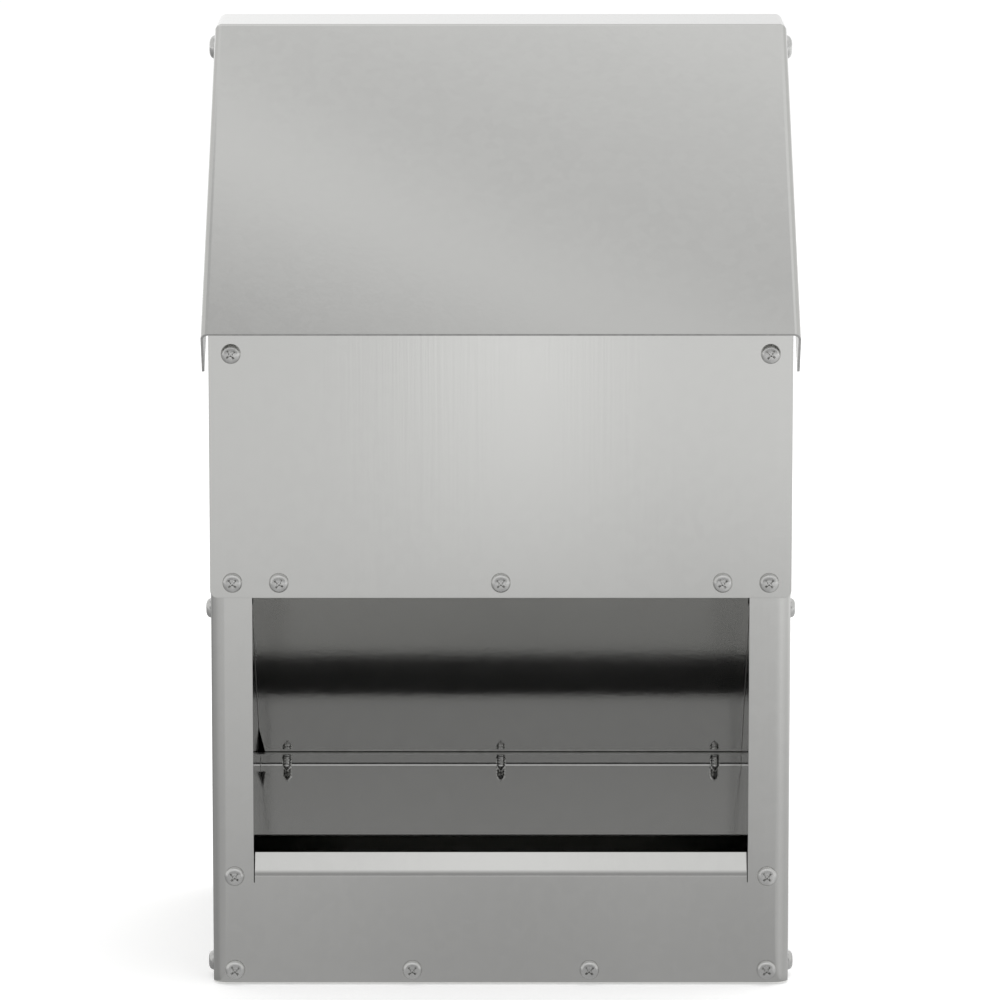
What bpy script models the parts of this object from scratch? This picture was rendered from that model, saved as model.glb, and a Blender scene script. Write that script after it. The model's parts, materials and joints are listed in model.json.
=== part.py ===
"""A poultry feeder of folded galvanised sheet steel, modelled at its real size in metres.

The feeder is a hopper that stands on its floor pan. Feed goes in under the hinged lid, slides
down the front baffle and the rear ramp, passes under the deflector and lies in the trough
behind the lip of the feeding window, between two upright cheeks. +Z is up, -Y is the front, and
the origin is on the ground under the middle of the overall box. Depths are measured back from
the front face.
"""

import math

import bmesh
import bpy
from mathutils import Matrix, Vector

# Sheet metal
SHEET = 0.0010
FIT = 0.0003
LAYER = SHEET + FIT
BEND = 0.0020
BEND_STEPS = 3
ARC_STEP = math.radians(25)
SHARP_ANGLE = math.radians(40)
MERGE_DISTANCE = 0.000001

# Body
BODY_WIDTH = 0.2340
BODY_DEPTH = 0.1840
TAB_SETBACK = 0.00085
PAN_FLANGE = 0.0120
RELIEF = 0.0050

# Lid
LID_TOP = 0.3777
LID_FLAT_START = 0.1430
LID_SLOPE = math.radians(35.8)
LID_FRONT_OVERHANG = 0.0086
LID_REAR_OVERHANG = 0.0050
LID_FLANGE = 0.0216
LID_SIDE_GAP = 0.00175
LID_SIDE_BEND = 0.0030
LID_CORNER = 0.0012
PIVOT_DROP = 0.0128
PIVOT_INSET = 0.0090

# Front
COLUMN_WIDTH = 0.01685
WINDOW_TOP = 0.1598
WINDOW_SILL = 0.0461
PANEL_CORNER = 0.0030
COLUMN_LAP = 0.0122
COLUMN_BEND = 0.0058
SIDE_WRAP = 0.0300
LIP_LENGTH = 0.0092
LIP_ANGLE = math.radians(55.6)
LIP_BEND = 0.0050
LIP_RELIEF_DEPTH = 0.0040

# Baffle, deflector, cheeks and ramp
BAFFLE_TUCK = 0.0012
BAFFLE_FLANGE = 0.0105
NOTCH_DROP = 0.0102
BAFFLE_FOOT_DEPTH = 0.0885
BAFFLE_FOOT_HEIGHT = 0.0732
BAFFLE_BEND = 0.0013
NIP_WIDTH = 0.0042
NIP_HEIGHT = 0.0360
VALLEY_DEPTH = 0.0867
VALLEY_BEND = 0.0010
DEFLECTOR_FLANGE = 0.0072
DEFLECTOR_LENGTH = 0.0337
DEFLECTOR_ANGLE = math.radians(48.3)
CHEEK_TIP_SETBACK = 0.0030
RAMP_TOP = 0.1000
RAMP_FLANGE = 0.0120
RAMP_ANGLE = math.radians(45.0)
RAMP_FOOT = 0.0080

# Sheet screws
HEAD_RADIUS = 0.0040
HEAD_HEIGHT = 0.0021
SHANK_RADIUS = 0.0017
SHANK_LENGTH = 0.0095
TIP_LENGTH = 0.0030
SCREW_SIDES = 12
HEAD_DOME = ((0.0, 1.0), (0.45, 0.96), (0.80, 0.74), (0.97, 0.36))
HOLE_PLAY = 0.0003
HOLE_SIDES = 12
DRILL_LENGTH = 0.0120
SCREW_EDGE = 0.0090
TOP_SCREW_DROP = 0.0139
PANEL_SCREW_RISE = 0.0062
BAFFLE_SCREW_INSET = 0.01085
SILL_SCREW_DROP = 0.0013
BOTTOM_SCREW_HEIGHT = 0.0058
BOTTOM_SCREW_PITCH = 0.0720
SIDE_SCREW_SETBACK = 0.0170
SIDE_SCREW_DROP = 0.0074
BACK_SCREW_LOW = 0.0200
BACK_SCREW_TOP_DROP = 0.0449
VALLEY_SCREW_RISE = 0.0040
VALLEY_SCREW_REACH = 0.0065
VALLEY_SCREW_TIP = 0.0022

# Lid pivots
PIVOT_HEAD_RADIUS = 0.0053
PIVOT_HEAD_HEIGHT = 0.0035
PIVOT_SHANK_RADIUS = 0.0025
PIVOT_SHANK_END = 0.0015
SPACER_RADIUS = 0.0050
WASHER_RADIUS = 0.0050
WASHER_THICKNESS = 0.0010
NUT_FLAT_WIDTH = 0.0080
NUT_HEIGHT = 0.0047
PIVOT_SIDES = 16

# Places worked out from the sizes above
FRONT = (LID_FRONT_OVERHANG - BODY_DEPTH - LID_REAR_OVERHANG) / 2
HALF_WIDTH = BODY_WIDTH / 2
SIDE_FACE = HALF_WIDTH - LAYER
SIDE_INNER = SIDE_FACE - SHEET
INNER_HALF = SIDE_INNER - FIT
TAB_WIDTH = COLUMN_WIDTH - LAYER - TAB_SETBACK
TAB_EDGE = SIDE_FACE - TAB_WIDTH
BETWEEN_TABS = TAB_EDGE - 2 * FIT
LID_HALF_WIDTH = HALF_WIDTH + LID_SIDE_GAP + SHEET
JAMB = HALF_WIDTH - COLUMN_WIDTH
CHEEK_FACE = JAMB + FIT
CHEEK_FLANGE = HALF_WIDTH - COLUMN_BEND - FIT - CHEEK_FACE
COLUMN_TOP = WINDOW_TOP + COLUMN_LAP
BAFFLE_HEAD = WINDOW_TOP + BAFFLE_TUCK
NOTCH_DEPTH = LAYER + COLUMN_BEND + FIT
BAFFLE_SLOPE = math.atan2(BAFFLE_HEAD - BAFFLE_FOOT_HEIGHT, BAFFLE_FOOT_DEPTH - LAYER)
SCREW_COLUMN = HALF_WIDTH - SCREW_EDGE
HOLE_RADIUS = SHANK_RADIUS + HOLE_PLAY
PIVOT_HOLE_RADIUS = PIVOT_SHANK_RADIUS + HOLE_PLAY
PIVOT_DEPTH = BODY_DEPTH - PIVOT_INSET
PIVOT_HEIGHT = LID_TOP - PIVOT_DROP
PIVOT = Vector((0.0, FRONT + PIVOT_DEPTH, PIVOT_HEIGHT))
CORNER_RADIUS = PIVOT_DROP - LAYER
CORNER_STEPS = 5
NUT_RADIUS = NUT_FLAT_WIDTH / 2 / math.cos(math.pi / 6)

STEEL = (0.60, 0.61, 0.60)
SCREW_STEEL = (0.70, 0.70, 0.69)
NYLON = (0.82, 0.81, 0.77)


def start_scene():
    """Empties the scene and makes one collection for the parts and one for the cutters."""
    for old in list(bpy.data.objects):
        bpy.data.objects.remove(old)
    made = []
    for title in ("poultry_feeder", "cutters"):
        collection = bpy.data.collections.new(title)
        bpy.context.scene.collection.children.link(collection)
        made.append(collection)
    return made


PARTS, CUTTERS = start_scene()


def finish_material(title, colour, metallic, roughness):
    material = bpy.data.materials.new(title)
    material.use_nodes = True
    shader = material.node_tree.nodes["Principled BSDF"]
    shader.inputs["Base Color"].default_value = (*colour, 1.0)
    shader.inputs["Metallic"].default_value = metallic
    shader.inputs["Roughness"].default_value = roughness
    return material


GALVANISED = finish_material("galvanised_sheet", STEEL, 1.0, 0.35)
ZINC_SCREW = finish_material("zinc_plated_screw", SCREW_STEEL, 1.0, 0.30)
SPACER_NYLON = finish_material("spacer_nylon", NYLON, 0.0, 0.50)


def place(name, bm, material, collection=PARTS, origin=Vector()):
    """Turns a bmesh into a named object whose own origin is at the point given."""
    bmesh.ops.translate(bm, verts=bm.verts, vec=-origin)
    mesh = bpy.data.meshes.new(name)
    bm.to_mesh(mesh)
    bm.free()
    obj = bpy.data.objects.new(name, mesh)
    obj.location = origin
    if material:
        mesh.materials.append(material)
    collection.objects.link(obj)
    return obj


def at(x, depth, height):
    """A point at a depth behind the front face."""
    return Vector((x, FRONT + depth, height))


def lid_line(depth, below):
    """The height of the sloping line that lies a distance square below the lid's outer face."""
    drop = (LID_FLAT_START - depth) * math.tan(LID_SLOPE)
    return LID_TOP - drop - below / math.cos(LID_SLOPE)


def lid_bend_depth(below):
    """The depth at which that sloping line turns into the flat one."""
    return LID_FLAT_START + below * math.tan(LID_SLOPE / 2)


def baffle_line(depth, below):
    """The height of the line that lies a distance square below the baffle's lower face."""
    rise = (BAFFLE_FOOT_DEPTH - depth) * math.tan(BAFFLE_SLOPE)
    return BAFFLE_FOOT_HEIGHT + rise - below / math.cos(BAFFLE_SLOPE)


VALLEY_HEIGHT = baffle_line(VALLEY_DEPTH, LAYER)


def deflector_line(depth, above):
    """The height of the line that lies a distance square above the deflector's upper face."""
    drop = (VALLEY_DEPTH - depth) * math.tan(DEFLECTOR_ANGLE)
    return VALLEY_HEIGHT - drop + above / math.cos(DEFLECTOR_ANGLE)


def rounded(points, radii, closed=False):
    """Replaces the corners of a path in one plane with arcs of the radii given."""
    path = []
    count = len(points)
    for index, corner in enumerate(points):
        radius = radii[index]
        at_end = not closed and index in (0, count - 1)
        if at_end or radius <= 0:
            path.append(corner.copy())
            continue
        back = (points[index - 1] - corner).normalized()
        ahead = (points[(index + 1) % count] - corner).normalized()
        turn = math.pi - back.angle(ahead)
        reach = radius * math.tan(turn / 2)
        centre = corner + (back + ahead).normalized() * radius / math.cos(turn / 2)
        start = corner + back * reach - centre
        axis = start.cross(corner + ahead * reach - centre).normalized()
        steps = max(2, math.ceil(turn / ARC_STEP))
        for step in range(steps + 1):
            spin = Matrix.Rotation(turn * step / steps, 3, axis)
            path.append(centre + spin @ start)
    return path


def face_inward(bm, inward):
    """Makes the first face point away from the side on which the sheet gets its thickness."""
    bmesh.ops.recalc_face_normals(bm, faces=bm.faces)
    bm.faces.ensure_lookup_table()
    bm.normal_update()
    if bm.faces[0].normal.dot(inward) > 0:
        bmesh.ops.reverse_faces(bm, faces=bm.faces)


def bend_edges(obj, setback):
    """Rounds the edges that carry a bevel weight, by the setback times that weight."""
    bevel = obj.modifiers.new("bends", "BEVEL")
    bevel.limit_method = "WEIGHT"
    bevel.width = setback
    bevel.segments = BEND_STEPS
    bevel.use_clamp_overlap = False


def thicken(obj):
    solidify = obj.modifiers.new("sheet thickness", "SOLIDIFY")
    solidify.thickness = SHEET
    solidify.offset = -1.0
    solidify.use_even_offset = True
    solidify.use_quality_normals = True


def folded_sheet(name, outline, flanges, inward):
    """A flat outline with flanges, given as (corner that the flange's edge starts at, step, bend)."""
    bm = bmesh.new()
    weight = bm.edges.layers.float.new("bevel_weight_edge")
    corners = [bm.verts.new(point) for point in outline]
    base = bm.faces.new(corners)
    base.normal_update()
    setbacks = []
    for start, step, bend in flanges:
        first = corners[start]
        second = corners[(start + 1) % len(corners)]
        edge = bm.edges.get((first, second))
        outward = (second.co - first.co).cross(base.normal)
        turn = outward.angle(step)
        setbacks.append((edge, bend * math.tan(turn / 2)))
        grown = bmesh.ops.extrude_edge_only(bm, edges=[edge])["geom"]
        moved = [item for item in grown if isinstance(item, bmesh.types.BMVert)]
        bmesh.ops.translate(bm, verts=moved, vec=step)
    widest = max((setback for edge, setback in setbacks), default=0.0)
    for edge, setback in setbacks:
        edge[weight] = setback / widest
    face_inward(bm, inward)
    obj = place(name, bm, GALVANISED)
    if setbacks:
        bend_edges(obj, widest)
    thicken(obj)
    return obj


def strip_sheet(name, path, half_width, inward):
    """A sheet with the same bent section all along X."""
    bm = bmesh.new()
    line = [bm.verts.new(point + Vector((-half_width, 0.0, 0.0))) for point in path]
    edges = [bm.edges.new(pair) for pair in zip(line, line[1:])]
    grown = bmesh.ops.extrude_edge_only(bm, edges=edges)["geom"]
    moved = [item for item in grown if isinstance(item, bmesh.types.BMVert)]
    bmesh.ops.translate(bm, verts=moved, vec=(2 * half_width, 0.0, 0.0))
    face_inward(bm, inward)
    obj = place(name, bm, GALVANISED)
    thicken(obj)
    return obj


def cut(obj, bm, label):
    """Takes the shape in the bmesh out of an object."""
    cutter = place(f"{obj.name}_{label}", bm, None, CUTTERS)
    cutter.hide_render = True
    cutter.display_type = "WIRE"
    boolean = obj.modifiers.new(label, "BOOLEAN")
    boolean.operation = "DIFFERENCE"
    boolean.solver = "EXACT"
    boolean.object = cutter


def turned_to(direction, centre):
    """The place of something made along +Z that should lie along a direction."""
    turn = Vector((0.0, 0.0, 1.0)).rotation_difference(direction)
    return Matrix.Translation(centre) @ turn.to_matrix().to_4x4()


def drill(obj, groups, direction, label="screw_holes", radius=HOLE_RADIUS):
    """Drills round holes along a direction, one at each seat of the groups given."""
    bm = bmesh.new()
    for seats in groups:
        for seat in seats.values():
            bmesh.ops.create_cone(
                bm,
                cap_ends=True,
                segments=HOLE_SIDES,
                radius1=radius,
                radius2=radius,
                depth=DRILL_LENGTH,
                matrix=turned_to(direction, seat),
            )
    cut(obj, bm, label)


def box(bm, low, high):
    size = high - low
    spot = Matrix.Translation((low + high) / 2)
    bmesh.ops.create_cube(bm, size=1.0, matrix=spot @ Matrix.Diagonal((*size, 1.0)))


def turned_mesh(name, profile, material, sides=SCREW_SIDES):
    """The shape that a profile of (radius, height) pairs makes round +Z."""
    bm = bmesh.new()
    points = [bm.verts.new((radius, 0.0, height)) for radius, height in profile]
    edges = [bm.edges.new(pair) for pair in zip(points, points[1:])]
    if profile[0][0] > 0:
        edges.append(bm.edges.new((points[-1], points[0])))
    bmesh.ops.spin(
        bm,
        geom=points + edges,
        cent=(0.0, 0.0, 0.0),
        axis=(0.0, 0.0, 1.0),
        angle=2 * math.pi,
        steps=sides,
        use_merge=True,
    )
    bmesh.ops.remove_doubles(bm, verts=bm.verts, dist=MERGE_DISTANCE)
    bmesh.ops.recalc_face_normals(bm, faces=bm.faces)
    mesh = bpy.data.meshes.new(name)
    bm.to_mesh(mesh)
    bm.free()
    mesh.materials.append(material)
    mesh.shade_smooth()
    mesh.set_sharp_from_angle(angle=SHARP_ANGLE)
    return mesh


def place_mesh(name, mesh, spot):
    """Puts a copy of a shared mesh at a place, as an object of its own."""
    obj = bpy.data.objects.new(name, mesh)
    obj.matrix_world = spot
    PARTS.objects.link(obj)
    return obj


def pan_head(radius, height, shank, length, tip):
    """A domed pan head that sits on z = 0, with its shank and tip below it."""
    dome = [(radius * across, height * up) for across, up in HEAD_DOME]
    return dome + [(radius, 0.0), (shank, 0.0), (shank, tip - length), (0.0, -length)]


def sheet_screws(name, mesh, seats, outward):
    """One screw at each seat, named by its place, with its head a fit above the sheet."""
    for place_name, seat in seats.items():
        spot = turned_to(outward, seat + outward * FIT)
        place_mesh(f"{name}_{place_name}", mesh, spot)


LEFT_AND_RIGHT = (-1.0, 1.0)
TO_FRONT = Vector((0.0, -1.0, 0.0))
TO_BACK = Vector((0.0, 1.0, 0.0))
TO_RIGHT = Vector((1.0, 0.0, 0.0))
UP = Vector((0.0, 0.0, 1.0))
BAFFLE_RISE = Vector((0.0, -math.cos(BAFFLE_SLOPE), math.sin(BAFFLE_SLOPE)))
BAFFLE_UP = Vector((0.0, math.sin(BAFFLE_SLOPE), math.cos(BAFFLE_SLOPE)))
PANEL_TOP = lid_line(0.0, LAYER)


def side_word(x):
    """The name of a place across the front, as seen from the front."""
    if abs(x) < FIT:
        return "middle"
    return "right" if x > 0 else "left"


def row(xs, depth, height):
    """Seats in a level row, by the name of their place."""
    return {side_word(x): at(x, depth, height) for x in xs}


# Screw seats: each is on the outer face that the head sits on.
EDGE_XS = (-SCREW_COLUMN, SCREW_COLUMN)
BAFFLE_XS = (BAFFLE_SCREW_INSET - JAMB, 0.0, JAMB - BAFFLE_SCREW_INSET)
PAN_XS = (-BOTTOM_SCREW_PITCH / 2, BOTTOM_SCREW_PITCH / 2)
PANEL_ROW_HEIGHT = WINDOW_TOP + PANEL_SCREW_RISE
TOP_CORNER_SEATS = row(EDGE_XS, 0.0, PANEL_TOP - TOP_SCREW_DROP)
PANEL_CORNER_SEATS = row(EDGE_XS, 0.0, PANEL_ROW_HEIGHT)
BAFFLE_SEATS = row(BAFFLE_XS, 0.0, PANEL_ROW_HEIGHT)
LIP_SEATS = row(EDGE_XS, LAYER, WINDOW_SILL - SILL_SCREW_DROP)
FOOT_SEATS = row(EDGE_XS, LAYER, BOTTOM_SCREW_HEIGHT)
PAN_FRONT_SEATS = row(PAN_XS, LAYER, BOTTOM_SCREW_HEIGHT)
PAN_BACK_SEATS = row(PAN_XS, BODY_DEPTH, BOTTOM_SCREW_HEIGHT)
RAMP_SEATS = row(EDGE_XS, BODY_DEPTH, RAMP_TOP - RAMP_FLANGE / 2)
BACK_SCREW_HIGH = PIVOT_HEIGHT - BACK_SCREW_TOP_DROP
BACK_HEIGHTS = {
    "low": BACK_SCREW_LOW,
    "mid": (BACK_SCREW_LOW + BACK_SCREW_HIGH) / 2,
    "high": BACK_SCREW_HIGH,
}
BACK_SEATS = {
    f"{side_word(x)}_{level}": at(x, BODY_DEPTH, height)
    for x in EDGE_XS
    for level, height in BACK_HEIGHTS.items()
}
SIDE_SEAT_DEPTH = LAYER + SIDE_SCREW_SETBACK
SIDE_HEIGHTS = {"low": BOTTOM_SCREW_HEIGHT, "high": WINDOW_TOP - SIDE_SCREW_DROP}
VALLEY_SCREW_OFFSET = BAFFLE_RISE * VALLEY_SCREW_RISE + BAFFLE_UP * (LAYER + SHEET)
VALLEY_SEATS = {
    side_word(x): at(x, VALLEY_DEPTH, VALLEY_HEIGHT) + VALLEY_SCREW_OFFSET for x in BAFFLE_XS
}


def side_seats(side):
    return {
        level: at(side * HALF_WIDTH, SIDE_SEAT_DEPTH, height)
        for level, height in SIDE_HEIGHTS.items()
    }


def floor_pan():
    """The bottom sheet, with flanges turned up inside the sides, the front and the back."""
    front = 2 * LAYER
    rear = BODY_DEPTH - LAYER
    corners = (
        (-BETWEEN_TABS, front + RELIEF),
        (-BETWEEN_TABS, front),
        (BETWEEN_TABS, front),
        (BETWEEN_TABS, front + RELIEF),
        (INNER_HALF, front + RELIEF),
        (INNER_HALF, rear - RELIEF),
        (BETWEEN_TABS, rear - RELIEF),
        (BETWEEN_TABS, rear),
        (-BETWEEN_TABS, rear),
        (-BETWEEN_TABS, rear - RELIEF),
        (-INNER_HALF, rear - RELIEF),
        (-INNER_HALF, front + RELIEF),
    )
    outline = [at(x, depth, 0.0) for x, depth in corners]
    rise = UP * PAN_FLANGE
    flanges = [(start, rise, BEND) for start in (1, 4, 7, 10)]
    pan = folded_sheet("floor_pan", outline, flanges, UP)
    drill(pan, (PAN_FRONT_SEATS, PAN_BACK_SEATS), TO_FRONT)
    low_sides = {
        side_word(side): at(side * HALF_WIDTH, SIDE_SEAT_DEPTH, BOTTOM_SCREW_HEIGHT)
        for side in LEFT_AND_RIGHT
    }
    drill(pan, (low_sides,), TO_RIGHT, "side_screw_holes")


def side_outline(side):
    """The side's outer face: a straight front with a step for the frame, and a top under the lid."""
    lower = 2 * LAYER
    upper = LAYER
    rear = BODY_DEPTH - LAYER
    points = [
        (lower, 0.0),
        (lower, COLUMN_TOP),
        (lower + RELIEF, COLUMN_TOP),
        (lower + RELIEF, COLUMN_TOP + 2 * FIT),
        (upper, COLUMN_TOP + 2 * FIT),
        (upper, lid_line(upper, LAYER)),
        (lid_bend_depth(LAYER), LID_TOP - LAYER),
    ]
    end = math.acos((rear - PIVOT_DEPTH) / CORNER_RADIUS)
    for step in range(CORNER_STEPS + 1):
        angle = math.pi / 2 + (end - math.pi / 2) * step / CORNER_STEPS
        points.append(
            (
                PIVOT_DEPTH + CORNER_RADIUS * math.cos(angle),
                PIVOT_HEIGHT + CORNER_RADIUS * math.sin(angle),
            )
        )
    points.append((rear, 0.0))
    return [at(side * SIDE_FACE, depth, height) for depth, height in points]


def side_panel(name, side):
    outline = side_outline(side)
    inward = Vector((-side, 0.0, 0.0))
    tab = inward * TAB_WIDTH
    last = len(outline) - 2
    nested_bend = COLUMN_BEND - LAYER
    flanges = [(0, tab, nested_bend), (4, tab, BEND), (last, tab, BEND)]
    panel = folded_sheet(name, outline, flanges, inward)
    front_holes = (TOP_CORNER_SEATS, PANEL_CORNER_SEATS, LIP_SEATS, FOOT_SEATS)
    back_holes = (BACK_SEATS, RAMP_SEATS)
    drill(panel, front_holes + back_holes, TO_FRONT)
    drill(panel, (side_seats(side),), TO_RIGHT, "side_screw_holes")
    pivot = {"pivot": PIVOT + Vector((side * SIDE_FACE, 0.0, 0.0))}
    drill(panel, (pivot,), TO_RIGHT, "pivot_hole", PIVOT_HOLE_RADIUS)


def back_panel():
    top = PIVOT_HEIGHT + math.sqrt(CORNER_RADIUS**2 - PIVOT_INSET**2) - FIT
    corners = [
        at(-HALF_WIDTH, BODY_DEPTH, 0.0),
        at(HALF_WIDTH, BODY_DEPTH, 0.0),
        at(HALF_WIDTH, BODY_DEPTH, top),
        at(-HALF_WIDTH, BODY_DEPTH, top),
    ]
    outline = rounded(corners, (0.0, 0.0, PANEL_CORNER, PANEL_CORNER), closed=True)
    panel = folded_sheet("back_panel", outline, [], TO_FRONT)
    drill(panel, (BACK_SEATS, RAMP_SEATS, PAN_BACK_SEATS), TO_FRONT)


def upper_front_panel():
    corners = [
        at(-HALF_WIDTH, 0.0, PANEL_TOP),
        at(-HALF_WIDTH, 0.0, WINDOW_TOP),
        at(HALF_WIDTH, 0.0, WINDOW_TOP),
        at(HALF_WIDTH, 0.0, PANEL_TOP),
    ]
    outline = rounded(corners, (0.0, PANEL_CORNER, PANEL_CORNER, 0.0), closed=True)
    panel = folded_sheet("upper_front_panel", outline, [], TO_BACK)
    drill(panel, (TOP_CORNER_SEATS, PANEL_CORNER_SEATS, BAFFLE_SEATS), TO_FRONT)


def lower_front_frame():
    """The window frame: its columns wrap round the sides, and its sill leans in as a lip."""
    lip_end = JAMB - FIT
    foot = WINDOW_SILL - LIP_RELIEF_DEPTH
    corners = (
        (-HALF_WIDTH, 0.0),
        (HALF_WIDTH, 0.0),
        (HALF_WIDTH, COLUMN_TOP),
        (JAMB, COLUMN_TOP),
        (JAMB, foot),
        (lip_end, foot),
        (lip_end, WINDOW_SILL),
        (-lip_end, WINDOW_SILL),
        (-lip_end, foot),
        (-JAMB, foot),
        (-JAMB, COLUMN_TOP),
        (-HALF_WIDTH, COLUMN_TOP),
    )
    outline = [at(x, LAYER, height) for x, height in corners]
    wrap = TO_BACK * SIDE_WRAP
    lip = Vector((0.0, math.cos(LIP_ANGLE), math.sin(LIP_ANGLE))) * LIP_LENGTH
    flanges = [(1, wrap, COLUMN_BEND), (11, wrap, COLUMN_BEND), (6, lip, LIP_BEND)]
    frame = folded_sheet("lower_front_frame", outline, flanges, TO_BACK)
    drill(frame, (PANEL_CORNER_SEATS, LIP_SEATS, FOOT_SEATS, PAN_FRONT_SEATS), TO_FRONT)
    for side in LEFT_AND_RIGHT:
        drill(frame, (side_seats(side),), TO_RIGHT, f"{side_word(side)}_screw_holes")


def corner_nip(bm):
    """A wedge at the baffle's lower left corner, which stands a little off the cheek."""
    foot = at(-CHEEK_FACE - SHEET, BAFFLE_FOOT_DEPTH, BAFFLE_FOOT_HEIGHT) - BAFFLE_RISE * SHEET
    wedge = (foot, foot + TO_RIGHT * NIP_WIDTH, foot + BAFFLE_RISE * NIP_HEIGHT)
    face = bm.faces.new([bm.verts.new(point - BAFFLE_UP * SHEET) for point in wedge])
    grown = bmesh.ops.extrude_face_region(bm, geom=[face])["geom"]
    moved = [item for item in grown if isinstance(item, bmesh.types.BMVert)]
    bmesh.ops.translate(bm, verts=moved, vec=BAFFLE_UP * 3 * SHEET)
    bmesh.ops.recalc_face_normals(bm, faces=bm.faces)


def front_baffle():
    """The sheet that carries the feed down and back, with a flange behind the upper panel."""
    path = rounded(
        [
            at(0.0, LAYER, BAFFLE_HEAD + BAFFLE_FLANGE),
            at(0.0, LAYER, BAFFLE_HEAD),
            at(0.0, BAFFLE_FOOT_DEPTH, BAFFLE_FOOT_HEIGHT),
        ],
        (0.0, BAFFLE_BEND, 0.0),
    )
    baffle = strip_sheet("front_baffle", path, INNER_HALF, TO_BACK)
    bm = bmesh.new()
    for side in LEFT_AND_RIGHT:
        near = side * (JAMB - FIT)
        far = side * (INNER_HALF + SHEET)
        low = at(min(near, far), -SHEET, WINDOW_TOP - NOTCH_DROP)
        high = at(max(near, far), NOTCH_DEPTH, BAFFLE_HEAD + BAFFLE_FLANGE + SHEET)
        box(bm, low, high)
    corner_nip(bm)
    cut(baffle, bm, "notches")
    drill(baffle, (BAFFLE_SEATS,), TO_FRONT)
    drill(baffle, (VALLEY_SEATS,), BAFFLE_UP, "valley_screw_holes")


def feed_deflector():
    """The sheet that throws the feed forward, with a flange that lies against the baffle."""
    reach = Vector((0.0, math.cos(DEFLECTOR_ANGLE), math.sin(DEFLECTOR_ANGLE)))
    valley = at(0.0, VALLEY_DEPTH, VALLEY_HEIGHT)
    path = rounded(
        [
            valley - reach * DEFLECTOR_LENGTH,
            valley,
            valley + BAFFLE_RISE * DEFLECTOR_FLANGE,
        ],
        (0.0, VALLEY_BEND, 0.0),
    )
    deflector = strip_sheet("feed_deflector", path, INNER_HALF, TO_BACK)
    drill(deflector, (VALLEY_SEATS,), BAFFLE_UP)


def trough_cheek(name, side):
    """An upright sheet in line with the window's edge, which closes the trough's end."""
    clear = 2 * FIT
    below = LAYER + clear
    front = 3 * LAYER
    tip = VALLEY_DEPTH - CHEEK_TIP_SETBACK
    nose = VALLEY_DEPTH - DEFLECTOR_LENGTH * math.cos(DEFLECTOR_ANGLE) - clear
    corners = (
        (front, LAYER),
        (front, baffle_line(front, below)),
        (tip, baffle_line(tip, below)),
        (tip, deflector_line(tip, clear)),
        (nose, deflector_line(nose, clear)),
        (nose, LAYER),
    )
    outline = [at(side * CHEEK_FACE, depth, height) for depth, height in corners]
    outward = TO_RIGHT * side
    cheek = folded_sheet(name, outline, [(0, outward * CHEEK_FLANGE, BEND)], outward)
    drill(cheek, (LIP_SEATS, FOOT_SEATS), TO_FRONT)


def rear_feed_ramp():
    """The slope that keeps feed from lying in the back corner of the hopper."""
    rear = BODY_DEPTH - 2 * LAYER
    fold = RAMP_TOP - RAMP_FLANGE
    bottom = SHEET + FIT + SHEET
    run = (fold - bottom) / math.tan(RAMP_ANGLE)
    path = rounded(
        [
            at(0.0, rear - SHEET, RAMP_TOP),
            at(0.0, rear - SHEET, fold),
            at(0.0, rear - SHEET - run, bottom),
            at(0.0, rear - SHEET - run - RAMP_FOOT, bottom),
        ],
        (0.0, BEND, BEND, 0.0),
    )
    half_width = INNER_HALF - BEND - FIT
    ramp = strip_sheet("rear_feed_ramp", path, half_width, TO_BACK)
    drill(ramp, (RAMP_SEATS,), TO_FRONT)


def lid_hood():
    """The lid: flat top, sloping front, and a flange down each side that turns on a pivot."""
    front = -LID_FRONT_OVERHANG
    rear = BODY_DEPTH + LID_REAR_OVERHANG
    square = Vector((0.0, math.sin(LID_SLOPE), -math.cos(LID_SLOPE)))
    nose = at(0.0, front, lid_line(front, 0.0))
    bend = at(0.0, LID_FLAT_START, LID_TOP)
    tail = at(0.0, rear, LID_TOP)
    inner_bend = at(0.0, lid_bend_depth(LID_FLANGE), LID_TOP - LID_FLANGE)
    flange = [
        nose + square * LID_FLANGE,
        inner_bend,
        at(0.0, rear, LID_TOP - LID_FLANGE),
    ]
    bm = bmesh.new()
    weight = bm.edges.layers.float.new("bevel_weight_edge")
    top_line = {}
    for side in LEFT_AND_RIGHT:
        shift = Vector((side * LID_HALF_WIDTH, 0.0, 0.0))
        top_line[side] = [bm.verts.new(point + shift) for point in (nose, bend, tail)]
        tip, inner, heel = flange
        low = rounded(
            [nose, tip, inner, heel, tail],
            (0.0, LID_CORNER, 0.0, LID_SIDE_BEND, 0.0),
        )[1:-1]
        low_verts = [bm.verts.new(point + shift) for point in low]
        bm.faces.new(top_line[side] + low_verts[::-1])
    left = top_line[-1.0]
    right = top_line[1.0]
    for index in (0, 1):
        roof = bm.faces.new((left[index], right[index], right[index + 1], left[index + 1]))
        for line in (left, right):
            bm.edges.get((line[index], line[index + 1]))[weight] = 1.0
    bmesh.ops.recalc_face_normals(bm, faces=bm.faces)
    bm.normal_update()
    if roof.normal.z < 0:
        bmesh.ops.reverse_faces(bm, faces=bm.faces)
    lid = place("lid_hood", bm, GALVANISED, origin=PIVOT)
    bend_edges(lid, LID_SIDE_BEND)
    thicken(lid)
    pivots = {
        side_word(side): PIVOT + Vector((side * LID_HALF_WIDTH, 0.0, 0.0))
        for side in LEFT_AND_RIGHT
    }
    drill(lid, (pivots,), TO_RIGHT, "pivot_holes", PIVOT_HOLE_RADIUS)


def ring(inner, outer, height):
    return [(outer, 0.0), (outer, height), (inner, height), (inner, 0.0)]


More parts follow.
